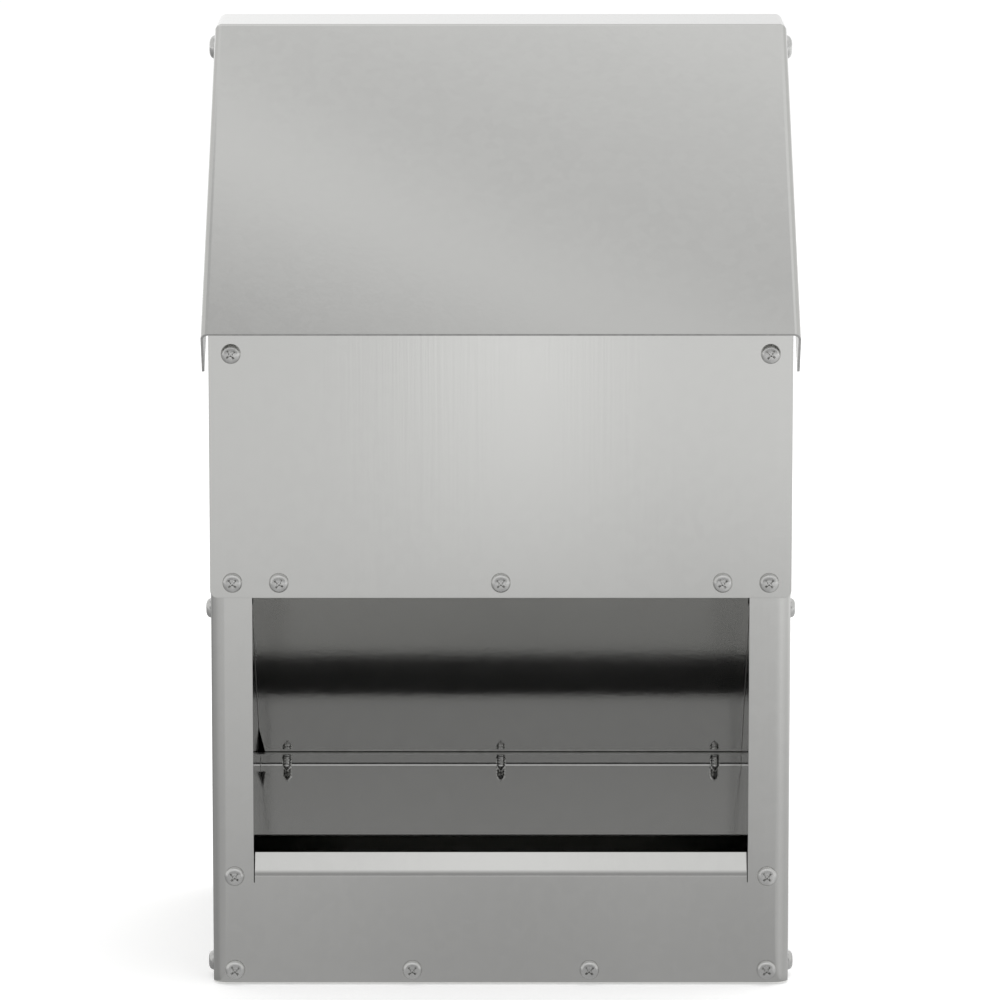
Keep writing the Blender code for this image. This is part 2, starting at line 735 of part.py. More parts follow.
def pivot_hardware():
    """On each side, from outside in: screw head, lid flange, spacer, side panel, washer, nut."""
    flange_inner = HALF_WIDTH + LID_SIDE_GAP
    spacer_start = SIDE_FACE + FIT
    spacer_length = flange_inner - FIT - spacer_start
    washer_start = SIDE_INNER - FIT - WASHER_THICKNESS
    nut_start = washer_start - FIT - NUT_HEIGHT
    shank_end = nut_start - PIVOT_SHANK_END
    head_seat = LID_HALF_WIDTH + FIT
    length = head_seat - shank_end
    bore = PIVOT_HOLE_RADIUS
    dome = pan_head(PIVOT_HEAD_RADIUS, PIVOT_HEAD_HEIGHT, PIVOT_SHANK_RADIUS, length, FIT)
    screw = dome[:-1] + [(PIVOT_SHANK_RADIUS - FIT, -length), (0.0, -length)]
    spacer = ring(bore, SPACER_RADIUS, spacer_length)
    washer = ring(bore, WASHER_RADIUS, WASHER_THICKNESS)
    stack = (
        ("lid_pivot_screw", head_seat, screw, ZINC_SCREW),
        ("lid_pivot_spacer", spacer_start, spacer, SPACER_NYLON),
        ("lid_pivot_washer", washer_start, washer, ZINC_SCREW),
    )
    for name, start, profile, material in stack:
        mesh = turned_mesh(name, profile, material, PIVOT_SIDES)
        for side in LEFT_AND_RIGHT:
            outward = TO_RIGHT * side
            place_mesh(f"{name}_{side_word(side)}", mesh, turned_to(outward, PIVOT + outward * start))
    for side in LEFT_AND_RIGHT:
        middle = PIVOT + TO_RIGHT * side * (nut_start + NUT_HEIGHT / 2)
        bm = bmesh.new()
        bmesh.ops.create_cone(
            bm,
            cap_ends=True,
            segments=6,
            radius1=NUT_RADIUS,
            radius2=NUT_RADIUS,
            depth=NUT_HEIGHT,
            matrix=turned_to(TO_RIGHT, middle),
        )
        nut = place(f"lid_pivot_nut_{side_word(side)}", bm, ZINC_SCREW)
        drill(nut, ({"bore": middle},), TO_RIGHT, "bore", bore)


def screws():
    profile = pan_head(HEAD_RADIUS, HEAD_HEIGHT, SHANK_RADIUS, SHANK_LENGTH, TIP_LENGTH)
    mesh = turned_mesh("sheet_screw", profile, ZINC_SCREW)
    sheet_screws("upper_corner_screw", mesh, TOP_CORNER_SEATS, TO_FRONT)
    sheet_screws("panel_corner_screw", mesh, PANEL_CORNER_SEATS, TO_FRONT)
    sheet_screws("baffle_screw", mesh, BAFFLE_SEATS, TO_FRONT)
    sheet_screws("frame_lip_screw", mesh, LIP_SEATS, TO_FRONT)
    sheet_screws("frame_foot_screw", mesh, FOOT_SEATS, TO_FRONT)
    sheet_screws("pan_front_screw", mesh, PAN_FRONT_SEATS, TO_FRONT)
    sheet_screws("frame_side_screw_left", mesh, side_seats(-1.0), -TO_RIGHT)
    sheet_screws("frame_side_screw_right", mesh, side_seats(1.0), TO_RIGHT)
    sheet_screws("back_edge_screw", mesh, BACK_SEATS, TO_BACK)
    sheet_screws("pan_back_screw", mesh, PAN_BACK_SEATS, TO_BACK)
    sheet_screws("ramp_screw", mesh, RAMP_SEATS, TO_BACK)
    reach = VALLEY_SCREW_REACH + 2 * LAYER
    profile = pan_head(HEAD_RADIUS, HEAD_HEIGHT, SHANK_RADIUS, reach, VALLEY_SCREW_TIP)
    mesh = turned_mesh("deflector_screw", profile, ZINC_SCREW)
    sheet_screws("deflector_screw", mesh, VALLEY_SEATS, BAFFLE_UP)


floor_pan()
side_panel("left_side_panel", -1.0)
side_panel("right_side_panel", 1.0)
back_panel()
upper_front_panel()
lower_front_frame()
front_baffle()
feed_deflector()
trough_cheek("left_trough_cheek", -1.0)
trough_cheek("right_trough_cheek", 1.0)
rear_feed_ramp()
lid_hood()
pivot_hardware()
screws()
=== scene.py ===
# %% [markdown]
# # A poultry feeder of folded galvanised sheet
#
# The feeder is a hopper made of thin zinc-coated steel. Its sheets are cut flat, folded on a brake
# and joined with small pan head screws. Metal like this has little colour of its own: nearly all
# of what the eye sees is a soft picture of the room. So the lesson has three threads: folds with
# true round bends, screws with threads and cross recesses, and a calm studio for them to mirror.

import json
import math

import bmesh
import bpy
from mathutils import Matrix, Vector

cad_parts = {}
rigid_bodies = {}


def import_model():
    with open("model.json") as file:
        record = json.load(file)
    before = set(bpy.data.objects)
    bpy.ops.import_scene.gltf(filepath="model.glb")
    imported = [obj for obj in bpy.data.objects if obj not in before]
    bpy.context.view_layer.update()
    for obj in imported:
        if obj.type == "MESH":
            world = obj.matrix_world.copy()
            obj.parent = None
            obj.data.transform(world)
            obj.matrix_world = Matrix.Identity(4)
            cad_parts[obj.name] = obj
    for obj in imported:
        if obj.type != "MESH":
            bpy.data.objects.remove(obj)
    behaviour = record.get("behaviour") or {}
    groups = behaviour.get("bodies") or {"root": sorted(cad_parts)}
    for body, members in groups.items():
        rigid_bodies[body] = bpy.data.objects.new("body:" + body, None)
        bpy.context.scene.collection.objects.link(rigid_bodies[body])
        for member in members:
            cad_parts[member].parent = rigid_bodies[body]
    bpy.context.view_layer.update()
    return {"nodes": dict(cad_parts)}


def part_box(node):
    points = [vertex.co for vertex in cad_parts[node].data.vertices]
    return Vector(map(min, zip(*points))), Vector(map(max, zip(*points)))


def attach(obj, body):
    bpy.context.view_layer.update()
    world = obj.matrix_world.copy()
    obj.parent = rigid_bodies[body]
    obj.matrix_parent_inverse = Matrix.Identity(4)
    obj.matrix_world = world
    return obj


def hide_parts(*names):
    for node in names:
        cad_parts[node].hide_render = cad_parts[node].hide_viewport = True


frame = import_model()
print("measured nodes:", len(frame["nodes"]))

# %% [markdown]
# ## Sizes
#
# All lengths are in metres. Depths are measured back from the front face of the body, because a
# sheet worker measures them that way too. A sheet is 1 mm thick, and sheets that lie on each
# other keep a hair of air between them.

# %% Sheet and body sizes
SHEET = 0.0010
FIT = 0.0003
LAYER = SHEET + FIT
FRONT = -0.0902
BODY_DEPTH = 0.1840
HALF_WIDTH = 0.1170
SIDE_FACE = HALF_WIDTH - LAYER
INNER_HALF = SIDE_FACE - SHEET - FIT
JAMB = 0.10015
TAB_WIDTH = 0.0147
RELIEF = 0.0050
BEND = 0.0020
PANEL_CORNER = 0.0030
TO_FRONT = Vector((0.0, -1.0, 0.0))
TO_BACK = Vector((0.0, 1.0, 0.0))
TO_RIGHT = Vector((1.0, 0.0, 0.0))
UP = Vector((0.0, 0.0, 1.0))
SIDES = {"left": -1.0, "right": 1.0}


def at(x, depth, height):
    """A point at a depth behind the front face."""
    return Vector((x, FRONT + depth, height))


print("body:", 2 * HALF_WIDTH, "wide and", BODY_DEPTH, "deep")

# %% Lid sizes
LID_TOP = 0.3777
LID_FLAT_START = 0.1430
LID_SLOPE = math.radians(35.8)
LID_FRONT_OVERHANG = 0.0086
LID_REAR_OVERHANG = 0.0050
LID_FLANGE = 0.0216
LID_HALF_WIDTH = HALF_WIDTH + 0.00275
LID_SIDE_BEND = 0.0030
LID_CORNER = 0.0012
PIVOT_DEPTH = BODY_DEPTH - 0.0090
PIVOT_HEIGHT = LID_TOP - 0.0128
TOP_CORNER_RADIUS = 0.0115


def lid_line(depth, below):
    """The height of the line that lies a distance square below the lid's slope."""
    drop = (LID_FLAT_START - depth) * math.tan(LID_SLOPE)
    return LID_TOP - drop - below / math.cos(LID_SLOPE)


def lid_bend_depth(below):
    """Where that line turns level."""
    return LID_FLAT_START + below * math.tan(LID_SLOPE / 2)


print("lid front edge is", round(lid_line(-LID_FRONT_OVERHANG, 0.0), 4), "high")

# %% [markdown]
# ## The camera
#
# The photograph was taken from far away with a long lens, a little above the feeder. A long lens
# keeps the two sides of the body parallel, and the small pitch shows a thin line of the lid's
# flat top.

# %% Camera
CAMERA_PITCH = math.radians(9.65)
CAMERA_PLACE = Vector((0.0, -2.6231, 0.6305))
LENS = 230.4

camera_data = bpy.data.cameras.new("studio_camera")
camera_data.lens = LENS
camera_data.sensor_width = 36.0
camera_data.shift_x = -0.0008
camera_data.clip_end = 60.0
camera = bpy.data.objects.new("studio_camera", camera_data)
camera.location = CAMERA_PLACE
camera.rotation_euler = (math.pi / 2 - CAMERA_PITCH, 0.0, 0.0)
bpy.context.scene.collection.objects.link(camera)
bpy.context.scene.camera = camera
print("camera distance:", round(CAMERA_PLACE.length, 3))

# %% [markdown]
# ## Galvanised sheet
#
# Hot-dipped sheet is rolled smooth and then coated with zinc. Close up it has faint crystals a
# few millimetres across, called spangle, and streaks along the rolling direction. From a metre
# away it is a satin grey mirror. The crystals are cells of random shape, and the streaks are
# noise stretched along one axis. Both only nudge the colour and the roughness by about a
# hundredth, because a real sheet of this finish is nearly even. The sheets inside the hopper
# have a smoother finish, and their zinc is darker: painted shade for the hollow they stand in.
# Cut edges show bare steel, so each sheet has a second material there.

# %% A small kit for node trees
NOISE_RANGE = (0.25, 0.75)


def new_material(title, inputs):
    """A material, its node tree and its shader, some of whose inputs get values."""
    material = bpy.data.materials.new(title)
    material.use_nodes = True
    shader = material.node_tree.nodes["Principled BSDF"]
    for name, value in inputs.items():
        shader.inputs[name].default_value = value
    return material, material.node_tree, shader


def add_node(tree, kind, inputs=None, **settings):
    node = tree.nodes.new(kind)
    for name, value in settings.items():
        setattr(node, name, value)
    for name, value in (inputs or {}).items():
        node.inputs[name].default_value = value
    return node


def feed(tree, source, target):
    tree.links.new(source, target)


def object_noise(tree, scale, detail, roughness=0.5):
    """Noise that sticks to the piece, with its own stretch along X, Y and Z."""
    place = add_node(tree, "ShaderNodeTexCoord")
    mapping = add_node(tree, "ShaderNodeMapping", {"Scale": scale})
    inputs = {"Scale": 1.0, "Detail": detail, "Roughness": roughness}
    noise = add_node(tree, "ShaderNodeTexNoise", inputs)
    feed(tree, place.outputs["Object"], mapping.inputs["Vector"])
    feed(tree, mapping.outputs["Vector"], noise.inputs["Vector"])
    return noise.outputs["Fac"]


def fade(tree, value, start, end, low, high):
    """Goes evenly from low to high while a value goes from start to end."""
    inputs = {"From Min": start, "From Max": end, "To Min": low, "To Max": high}
    mapped = add_node(tree, "ShaderNodeMapRange", inputs)
    feed(tree, value, mapped.inputs["Value"])
    return mapped.outputs["Result"]


def spread(tree, value, low, high):
    """Takes a noise value, which keeps near the middle, to the range given."""
    return fade(tree, value, *NOISE_RANGE, low, high)


def total(tree, first, second, operation="ADD"):
    node = add_node(tree, "ShaderNodeMath", operation=operation)
    for socket, value in zip(node.inputs, (first, second)):
        if isinstance(value, float):
            socket.default_value = value
        else:
            feed(tree, value, socket)
    return node.outputs["Value"]


print("node kit ready")

# %% Galvanised sheet material
ZINC = (0.66, 0.66, 0.645)
# A darker zinc for the sheets inside the hopper: painted shade for the hollow.
INNER_ZINC_PAINTED_SHADE = (0.62, 0.62, 0.61)
SHEET_ROUGHNESS = 0.12
INNER_ROUGHNESS = 0.085
INNER_METAL = 0.975
SPANGLE_SIZE = 0.0045


def spangle(tree):
    """A grey of its own for each zinc crystal."""
    place = add_node(tree, "ShaderNodeTexCoord")
    cells = add_node(tree, "ShaderNodeTexVoronoi", {"Scale": 1.0 / SPANGLE_SIZE})
    feed(tree, place.outputs["Object"], cells.inputs["Vector"])
    grey = add_node(tree, "ShaderNodeRGBToBW")
    feed(tree, cells.outputs["Color"], grey.inputs["Color"])
    return grey.outputs["Val"]


def coat(tree, shader, colour, brightness, roughness):
    """A colour times a brightness that changes over the surface, and a roughness."""
    inputs = {"Factor": 1.0, "A": (*colour, 1.0)}
    tinted = add_node(tree, "ShaderNodeMix", inputs, data_type="RGBA", blend_type="MULTIPLY")
    grey = add_node(tree, "ShaderNodeCombineColor")
    for channel in grey.inputs:
        feed(tree, brightness, channel)
    feed(tree, grey.outputs["Color"], tinted.inputs["B"])
    feed(tree, tinted.outputs["Result"], shader.inputs["Base Color"])
    feed(tree, roughness, shader.inputs["Roughness"])


def galvanised(title, streaks, colour=ZINC, roughness=SHEET_ROUGHNESS, metal=1.0):
    """Satin zinc with faint crystals, clouds and streaks along the rolling direction."""
    material, tree, shader = new_material(title, {"Metallic": metal})
    crystals = spangle(tree)
    clouds = object_noise(tree, (9.0, 9.0, 9.0), 3.0)
    lines = object_noise(tree, streaks, 4.0, 0.6)
    crystal_shade = spread(tree, crystals, 0.993, 1.007)
    brightness = total(tree, crystal_shade, spread(tree, clouds, 0.99, 1.01), "MULTIPLY")
    brightness = total(tree, brightness, spread(tree, lines, 0.995, 1.005), "MULTIPLY")
    satin = total(tree, spread(tree, lines, -0.010, 0.010), spread(tree, clouds, -0.012, 0.012))
    satin = total(tree, satin, spread(tree, crystals, -0.006, 0.006))
    coat(tree, shader, colour, brightness, total(tree, satin, roughness))
    bump = add_node(tree, "ShaderNodeBump", {"Strength": 0.08, "Distance": 0.0002})
    feed(tree, lines, bump.inputs["Height"])
    feed(tree, bump.outputs["Normal"], shader.inputs["Normal"])
    return material


UPWARD = (600.0, 600.0, 12.0)
BACKWARD = (600.0, 10.0, 600.0)
UPRIGHT_SHEET = galvanised("galvanised_upright", UPWARD)
LENGTHWISE_SHEET = galvanised("galvanised_lengthwise", BACKWARD)
# The inner sheets get the darker zinc, which is painted shade, and a smoother, slightly less
# metallic finish.
INNER_SHEET_PAINTED_SHADE = galvanised("galvanised_inner_painted_shade", BACKWARD, INNER_ZINC_PAINTED_SHADE, INNER_ROUGHNESS, INNER_METAL)
print("sheet materials:", UPRIGHT_SHEET.name, LENGTHWISE_SHEET.name, INNER_SHEET_PAINTED_SHADE.name)

# %% Cut edge material
SHEARED_STEEL = (0.60, 0.60, 0.59)


def cut_steel():
    """Sheared edges: darker and rougher, with zinc smeared over part of them."""
    material, tree, shader = new_material("cut_edge", {"Metallic": 1.0})
    smear = object_noise(tree, (400.0, 400.0, 400.0), 3.0)
    shade = spread(tree, smear, 0.85, 1.1)
    coat(tree, shader, SHEARED_STEEL, shade, spread(tree, smear, 0.28, 0.42))
    return material


CUT_EDGE = cut_steel()
print("edge material:", CUT_EDGE.name)

# %% [markdown]
# ## Folding a sheet
#
# A brake presses a flat blank over a tool, so every fold is a round bend between two flat faces.
# The blank starts as one face. Each flange is an extruded edge, and the shared edge carries a
# bevel weight, so that a Bevel modifier turns it into a bend of the right radius. Solidify gives
# the thickness on the inner side. Holes are cut last, and a tiny second bevel takes the
# sharpness off the cut edges, where real sheet catches the light.

# %% Rounded paths
ARC_STEP = math.radians(7.5)


def rounded(points, radii, closed=False):
    """Replaces the corners of a path in one plane with arcs of the radii given."""
    path = []
    count = len(points)
    for index, corner in enumerate(points):
        radius = radii[index]
        at_end = not closed and index in (0, count - 1)
        if at_end or radius <= 0:
            path.append(corner.copy())
            continue
        back = (points[index - 1] - corner).normalized()
        ahead = (points[(index + 1) % count] - corner).normalized()
        turn = math.pi - back.angle(ahead)
        reach = radius * math.tan(turn / 2)
        centre = corner + (back + ahead).normalized() * radius / math.cos(turn / 2)
        start = corner + back * reach - centre
        axis = start.cross(corner + ahead * reach - centre).normalized()
        steps = max(3, math.ceil(turn / ARC_STEP))
        for step in range(steps + 1):
            path.append(centre + Matrix.Rotation(turn * step / steps, 3, axis) @ start)
    return path


print("arc step:", round(math.degrees(ARC_STEP), 1), "degrees")

# %% From a bmesh to a piece that rides on the frame
SMALL_EDGE = 0.00014
SMALL_EDGE_ANGLE = math.radians(50)
BEND_STEPS = 10


def to_object(name, bm):
    mesh = bpy.data.meshes.new(name)
    bm.to_mesh(mesh)
    bm.free()
    obj = bpy.data.objects.new(name, mesh)
    bpy.context.scene.collection.objects.link(obj)
    return obj


def settle(obj):
    """Applies every modifier, so that helpers such as cutters can go."""
    bpy.context.view_layer.update()
    graph = bpy.context.evaluated_depsgraph_get()
    shaped = bpy.data.meshes.new_from_object(obj.evaluated_get(graph), depsgraph=graph)
    old = obj.data
    obj.modifiers.clear()
    obj.data = shaped
    bpy.data.meshes.remove(old)


def even_normals(obj):
    """Smooth shading in which the large flat faces stay flat."""
    obj.data.shade_smooth()
    weighted = obj.modifiers.new("flat faces stay flat", "WEIGHTED_NORMAL")
    weighted.weight = 100
    weighted.keep_sharp = True


def soften(obj, width=SMALL_EDGE, segments=2):
    """Takes the sharpness off the edges."""
    bevel = obj.modifiers.new("small edges", "BEVEL")
    bevel.width = width
    bevel.segments = segments
    bevel.limit_method = "ANGLE"
    bevel.angle_limit = SMALL_EDGE_ANGLE


def mount(obj, node, body):
    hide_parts(node)
    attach(obj, body)


print("bends have", BEND_STEPS, "segments")

# %% Thickness, holes and edges
def face_inward(bm, inward):
    """Makes the first face point away from the side that gets the thickness."""
    bmesh.ops.recalc_face_normals(bm, faces=bm.faces)
    bm.faces.ensure_lookup_table()
    bm.normal_update()
    if bm.faces[0].normal.dot(inward) > 0:
        bmesh.ops.reverse_faces(bm, faces=bm.faces)


def bend_edges(obj, setback):
    bevel = obj.modifiers.new("bends", "BEVEL")
    bevel.limit_method = "WEIGHT"
    bevel.width = setback
    bevel.segments = BEND_STEPS
    bevel.use_clamp_overlap = False


def thicken(obj, sheet_material):
    obj.data.materials.append(sheet_material)
    obj.data.materials.append(CUT_EDGE)
    solidify = obj.modifiers.new("sheet thickness", "SOLIDIFY")
    solidify.thickness = SHEET
    solidify.offset = -1.0
    solidify.use_even_offset = True
    solidify.use_quality_normals = True
    solidify.material_offset_rim = 1


def combine(obj, solids, operation="DIFFERENCE"):
    """Cuts the solids of some bmeshes out of an object, unless another operation is given."""
    tools = []
    for bm in solids:
        tool = to_object(f"{obj.name}_tool", bm)
        boolean = obj.modifiers.new("combine", "BOOLEAN")
        boolean.operation = operation
        boolean.solver = "EXACT"
        boolean.object = tool
        tools.append(tool)
    settle(obj)
    for tool in tools:
        mesh = tool.data
        bpy.data.objects.remove(tool)
        bpy.data.meshes.remove(mesh)


print("sheet tools ready")

# %% [markdown]
# ## Where the screws sit
#
# The measured model already has every screw in place. A screw's seat, the point on the sheet
# under the middle of its head, follows from its box, so it is read from there and not typed in
# again. The drill for the holes uses the same seats.

# %% Screw seats read from the measured model
HEAD_RADIUS = 0.0040
HEAD_HEIGHT = 0.0021
SHANK_RADIUS = 0.0017
HOLE_RADIUS = SHANK_RADIUS + FIT
DRILL_LENGTH = 0.0120
HOLE_SIDES = 24
OUTWARD = {
    "upper_corner_screw": TO_FRONT,
    "panel_corner_screw": TO_FRONT,
    "baffle_screw": TO_FRONT,
    "frame_lip_screw": TO_FRONT,
    "frame_foot_screw": TO_FRONT,
    "pan_front_screw": TO_FRONT,
    "frame_side_screw_left": -TO_RIGHT,
    "frame_side_screw_right": TO_RIGHT,
    "back_edge_screw": TO_BACK,
    "pan_back_screw": TO_BACK,
    "ramp_screw": TO_BACK,
}


def measured(node):
    """The middle and the size of a measured node's box."""
    low, high = (Vector(corner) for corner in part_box(node))
    return (low + high) / 2, high - low


def seat_of(node, outward, head_height):
    """The middle of the seat: the box's middle, moved to just under the head."""
    middle, size = measured(node)
    return middle + outward * (abs(size.dot(outward)) / 2 - head_height)


SCREW_SEATS = {}
for kind, outward in OUTWARD.items():
    for node in sorted(frame["nodes"]):
        if node.startswith(kind):
            SCREW_SEATS[node] = (seat_of(node, outward, HEAD_HEIGHT), outward)
print("screws found:", len(SCREW_SEATS))

# %% [markdown]
# The three screws of the deflector are square to the baffle, which slopes. A sloping screw's box
# doesn't show where its seat is, so these seats are worked out from the slope itself.

# %% Seats on the sloping baffle
BAFFLE_TUCK = 0.0012
BAFFLE_FOOT_DEPTH = 0.0885
BAFFLE_FOOT_HEIGHT = 0.0732
WINDOW_TOP = 0.1598
BAFFLE_HEAD = WINDOW_TOP + BAFFLE_TUCK
BAFFLE_SLOPE = math.atan2(BAFFLE_HEAD - BAFFLE_FOOT_HEIGHT, BAFFLE_FOOT_DEPTH - LAYER)
BAFFLE_RISE = Vector((0.0, -math.cos(BAFFLE_SLOPE), math.sin(BAFFLE_SLOPE)))
BAFFLE_UP = Vector((0.0, math.sin(BAFFLE_SLOPE), math.cos(BAFFLE_SLOPE)))
VALLEY_DEPTH = 0.0867
VALLEY_SCREW_RISE = 0.0040


def baffle_line(depth, below):
    """The height of the line that lies a distance square below the baffle's lower face."""
    rise = (BAFFLE_FOOT_DEPTH - depth) * math.tan(BAFFLE_SLOPE)
    return BAFFLE_FOOT_HEIGHT + rise - below / math.cos(BAFFLE_SLOPE)


VALLEY_HEIGHT = baffle_line(VALLEY_DEPTH, LAYER)
seat_offset = BAFFLE_RISE * VALLEY_SCREW_RISE + BAFFLE_UP * (LAYER + SHEET + FIT)
for node in sorted(frame["nodes"]):
    if node.startswith("deflector_screw"):
        middle, size = measured(node)
        seat = at(middle.x, VALLEY_DEPTH, VALLEY_HEIGHT) + seat_offset
        SCREW_SEATS[node] = (seat, BAFFLE_UP)
print("baffle slopes", round(math.degrees(BAFFLE_SLOPE), 1), "degrees; screws:", len(SCREW_SEATS))

# %% Drills
def turned_to(direction, centre):
    """The place of something made along +Z that should lie along a direction."""
    turn = UP.rotation_difference(direction)
    return Matrix.Translation(centre) @ turn.to_matrix().to_4x4()


def add_cone(bm, low, high, length, sides, place=Matrix.Identity(4)):
    """A closed cone or rod along +Z with its middle at a place, and with a radius at each end."""
    bmesh.ops.create_cone(
        bm, cap_ends=True, segments=sides, radius1=low, radius2=high, depth=length, matrix=place
    )


def drills(kinds):
    """Round cutters at the seats of the screws of some kinds."""
    bm = bmesh.new()
    for node, (seat, outward) in SCREW_SEATS.items():
        if node.startswith(kinds):
            place = turned_to(outward, seat)
            add_cone(bm, HOLE_RADIUS, HOLE_RADIUS, DRILL_LENGTH, HOLE_SIDES, place)
    return bm


print("drill length:", DRILL_LENGTH)

# %% Folded and bent sheets
def move_grown(bm, grown, step):
    """Moves the corners that an extrusion made."""
    moved = [item for item in grown["geom"] if isinstance(item, bmesh.types.BMVert)]
    bmesh.ops.translate(bm, verts=moved, vec=step)


def folded_sheet(outline, flanges, inward):
    """A flat outline with flanges, given as (corner where the fold starts, step, bend radius)."""
    bm = bmesh.new()
    weight = bm.edges.layers.float.new("bevel_weight_edge")
    corners = [bm.verts.new(point) for point in outline]
    base = bm.faces.new(corners)
    base.normal_update()
    setbacks = []
    for start, step, radius in flanges:
        first = corners[start]
        second = corners[(start + 1) % len(corners)]
        edge = bm.edges.get((first, second))
        outward = (second.co - first.co).cross(base.normal)
        turn = outward.angle(step)
        setbacks.append((edge, radius * math.tan(turn / 2)))
        move_grown(bm, bmesh.ops.extrude_edge_only(bm, edges=[edge]), step)
    widest = max((setback for edge, setback in setbacks), default=0.0)
    for edge, setback in setbacks:
        edge[weight] = setback / widest
    face_inward(bm, inward)
    return bm, widest


def strip_sheet(path, half_width, inward):
    """A sheet with the same bent section all along X."""
    bm = bmesh.new()
    line = [bm.verts.new(point - TO_RIGHT * half_width) for point in path]
    edges = [bm.edges.new(pair) for pair in zip(line, line[1:])]
    move_grown(bm, bmesh.ops.extrude_edge_only(bm, edges=edges), TO_RIGHT * 2 * half_width)
    face_inward(bm, inward)
    return bm, 0.0


def make_sheet(node, blank, sheet_material, cutters, body="feeder_body"):
    """Takes a folded blank to a finished piece in the place of its measured node."""
    bm, setback = blank
    obj = to_object(f"{node}_sheet", bm)
    if setback:
        bend_edges(obj, setback)
    thicken(obj, sheet_material)
    combine(obj, cutters)
    soften(obj)
    even_normals(obj)
    mount(obj, node, body)
    print(node, "has", len(obj.data.polygons), "faces")


# %% [markdown]
# ## The sheets of the body
#
# Each sheet is described the way it would be drawn for the shop: the flat outline, then the folds.
# The sides have tabs along the front and back edges, and the front and back panels are screwed to
# those tabs. The lower frame wraps round the sides, with a large bend radius that shows as a
# soft band of light down each corner.

# %% Floor pan
PAN_FLANGE = 0.0120
BETWEEN_TABS = SIDE_FACE - TAB_WIDTH - 2 * FIT


def floor_pan_blank():
    front = 2 * LAYER
    rear = BODY_DEPTH - LAYER
    corners = (
        (-BETWEEN_TABS, front + RELIEF),
        (-BETWEEN_TABS, front),
        (BETWEEN_TABS, front),
        (BETWEEN_TABS, front + RELIEF),
        (INNER_HALF, front + RELIEF),
        (INNER_HALF, rear - RELIEF),
        (BETWEEN_TABS, rear - RELIEF),
        (BETWEEN_TABS, rear),
        (-BETWEEN_TABS, rear),
        (-BETWEEN_TABS, rear - RELIEF),
        (-INNER_HALF, rear - RELIEF),
        (-INNER_HALF, front + RELIEF),
    )
    outline = [at(x, depth, 0.0) for x, depth in corners]
    folds = [(start, UP * PAN_FLANGE, BEND) for start in (1, 4, 7, 10)]
    return folded_sheet(outline, folds, UP)


pan_holes = [
    drills(("pan_front_screw", "pan_back_screw")),
    drills(("frame_side_screw_left_low", "frame_side_screw_right_low")),
]
make_sheet("floor_pan", floor_pan_blank(), INNER_SHEET_PAINTED_SHADE, pan_holes)

# %% Side panels
COLUMN_BEND = 0.0058
COLUMN_LAP = 0.0122
COLUMN_TOP = WINDOW_TOP + COLUMN_LAP
TOP_CORNER_STEPS = 12
PIVOT_SHANK_RADIUS = 0.0025
PIVOT_BORE = PIVOT_SHANK_RADIUS + FIT


def side_outline(side):
    """A straight front with a step for the frame, and a top that keeps just under the lid."""
    lower = 2 * LAYER
    upper = LAYER
    rear = BODY_DEPTH - LAYER
    points = [
        (lower, 0.0),
        (lower, COLUMN_TOP),
        (lower + RELIEF, COLUMN_TOP),
        (lower + RELIEF, COLUMN_TOP + 2 * FIT),
        (upper, COLUMN_TOP + 2 * FIT),
        (upper, lid_line(upper, LAYER)),
        (lid_bend_depth(LAYER), LID_TOP - LAYER),
    ]
    end = math.acos((rear - PIVOT_DEPTH) / TOP_CORNER_RADIUS)
    for step in range(TOP_CORNER_STEPS + 1):
        angle = math.pi / 2 + (end - math.pi / 2) * step / TOP_CORNER_STEPS
        across = TOP_CORNER_RADIUS * math.cos(angle)
        rise = TOP_CORNER_RADIUS * math.sin(angle)
        points.append((PIVOT_DEPTH + across, PIVOT_HEIGHT + rise))
    points.append((rear, 0.0))
    return [at(side * SIDE_FACE, depth, height) for depth, height in points]


def side_blank(side):
    outline = side_outline(side)
    inward = -TO_RIGHT * side
    tab = inward * TAB_WIDTH
    last = len(outline) - 2
    folds = [(0, tab, COLUMN_BEND - LAYER), (4, tab, BEND), (last, tab, BEND)]
    return folded_sheet(outline, folds, inward)


def pivot_drill():
    """A drill along the axis that the lid turns on, through both sides."""
    bm = bmesh.new()
    place = turned_to(TO_RIGHT, at(0.0, PIVOT_DEPTH, PIVOT_HEIGHT))
    add_cone(bm, PIVOT_BORE, PIVOT_BORE, 3 * HALF_WIDTH, 2 * HOLE_SIDES, place)
    return bm


side_fronts = ("upper_corner_screw", "panel_corner_screw", "frame_lip_screw", "frame_foot_screw")
side_backs = ("back_edge_screw", "ramp_screw")
for word, side in SIDES.items():
    side_holes = [drills(side_fronts + side_backs), drills(f"frame_side_screw_{word}")]
    make_sheet(f"{word}_side_panel", side_blank(side), UPRIGHT_SHEET, side_holes + [pivot_drill()])

# %% Back panel
BACK_TOP = PIVOT_HEIGHT + math.sqrt(TOP_CORNER_RADIUS**2 - (BODY_DEPTH - PIVOT_DEPTH) ** 2) - FIT


def flat_blank(depth, low, high, low_corner, high_corner, inward):
    """A plain rectangle as wide as the body, with the radii of its low and high corners."""
    corners = [(-HALF_WIDTH, low), (HALF_WIDTH, low), (HALF_WIDTH, high), (-HALF_WIDTH, high)]
    outline = [at(x, depth, height) for x, height in corners]
    radii = (low_corner, low_corner, high_corner, high_corner)
    return folded_sheet(rounded(outline, radii, closed=True), [], inward)


back_screws = ("back_edge_screw", "ramp_screw", "pan_back_screw")
back_blank = flat_blank(BODY_DEPTH, 0.0, BACK_TOP, 0.0, PANEL_CORNER, TO_FRONT)
make_sheet("back_panel", back_blank, UPRIGHT_SHEET, [drills(back_screws)])

# %% Upper front panel
PANEL_TOP = lid_line(0.0, LAYER)
panel_screws = ("upper_corner_screw", "panel_corner_screw", "baffle_screw")
panel_blank = flat_blank(0.0, WINDOW_TOP, PANEL_TOP, PANEL_CORNER, 0.0, TO_BACK)
make_sheet("upper_front_panel", panel_blank, UPRIGHT_SHEET, [drills(panel_screws)])

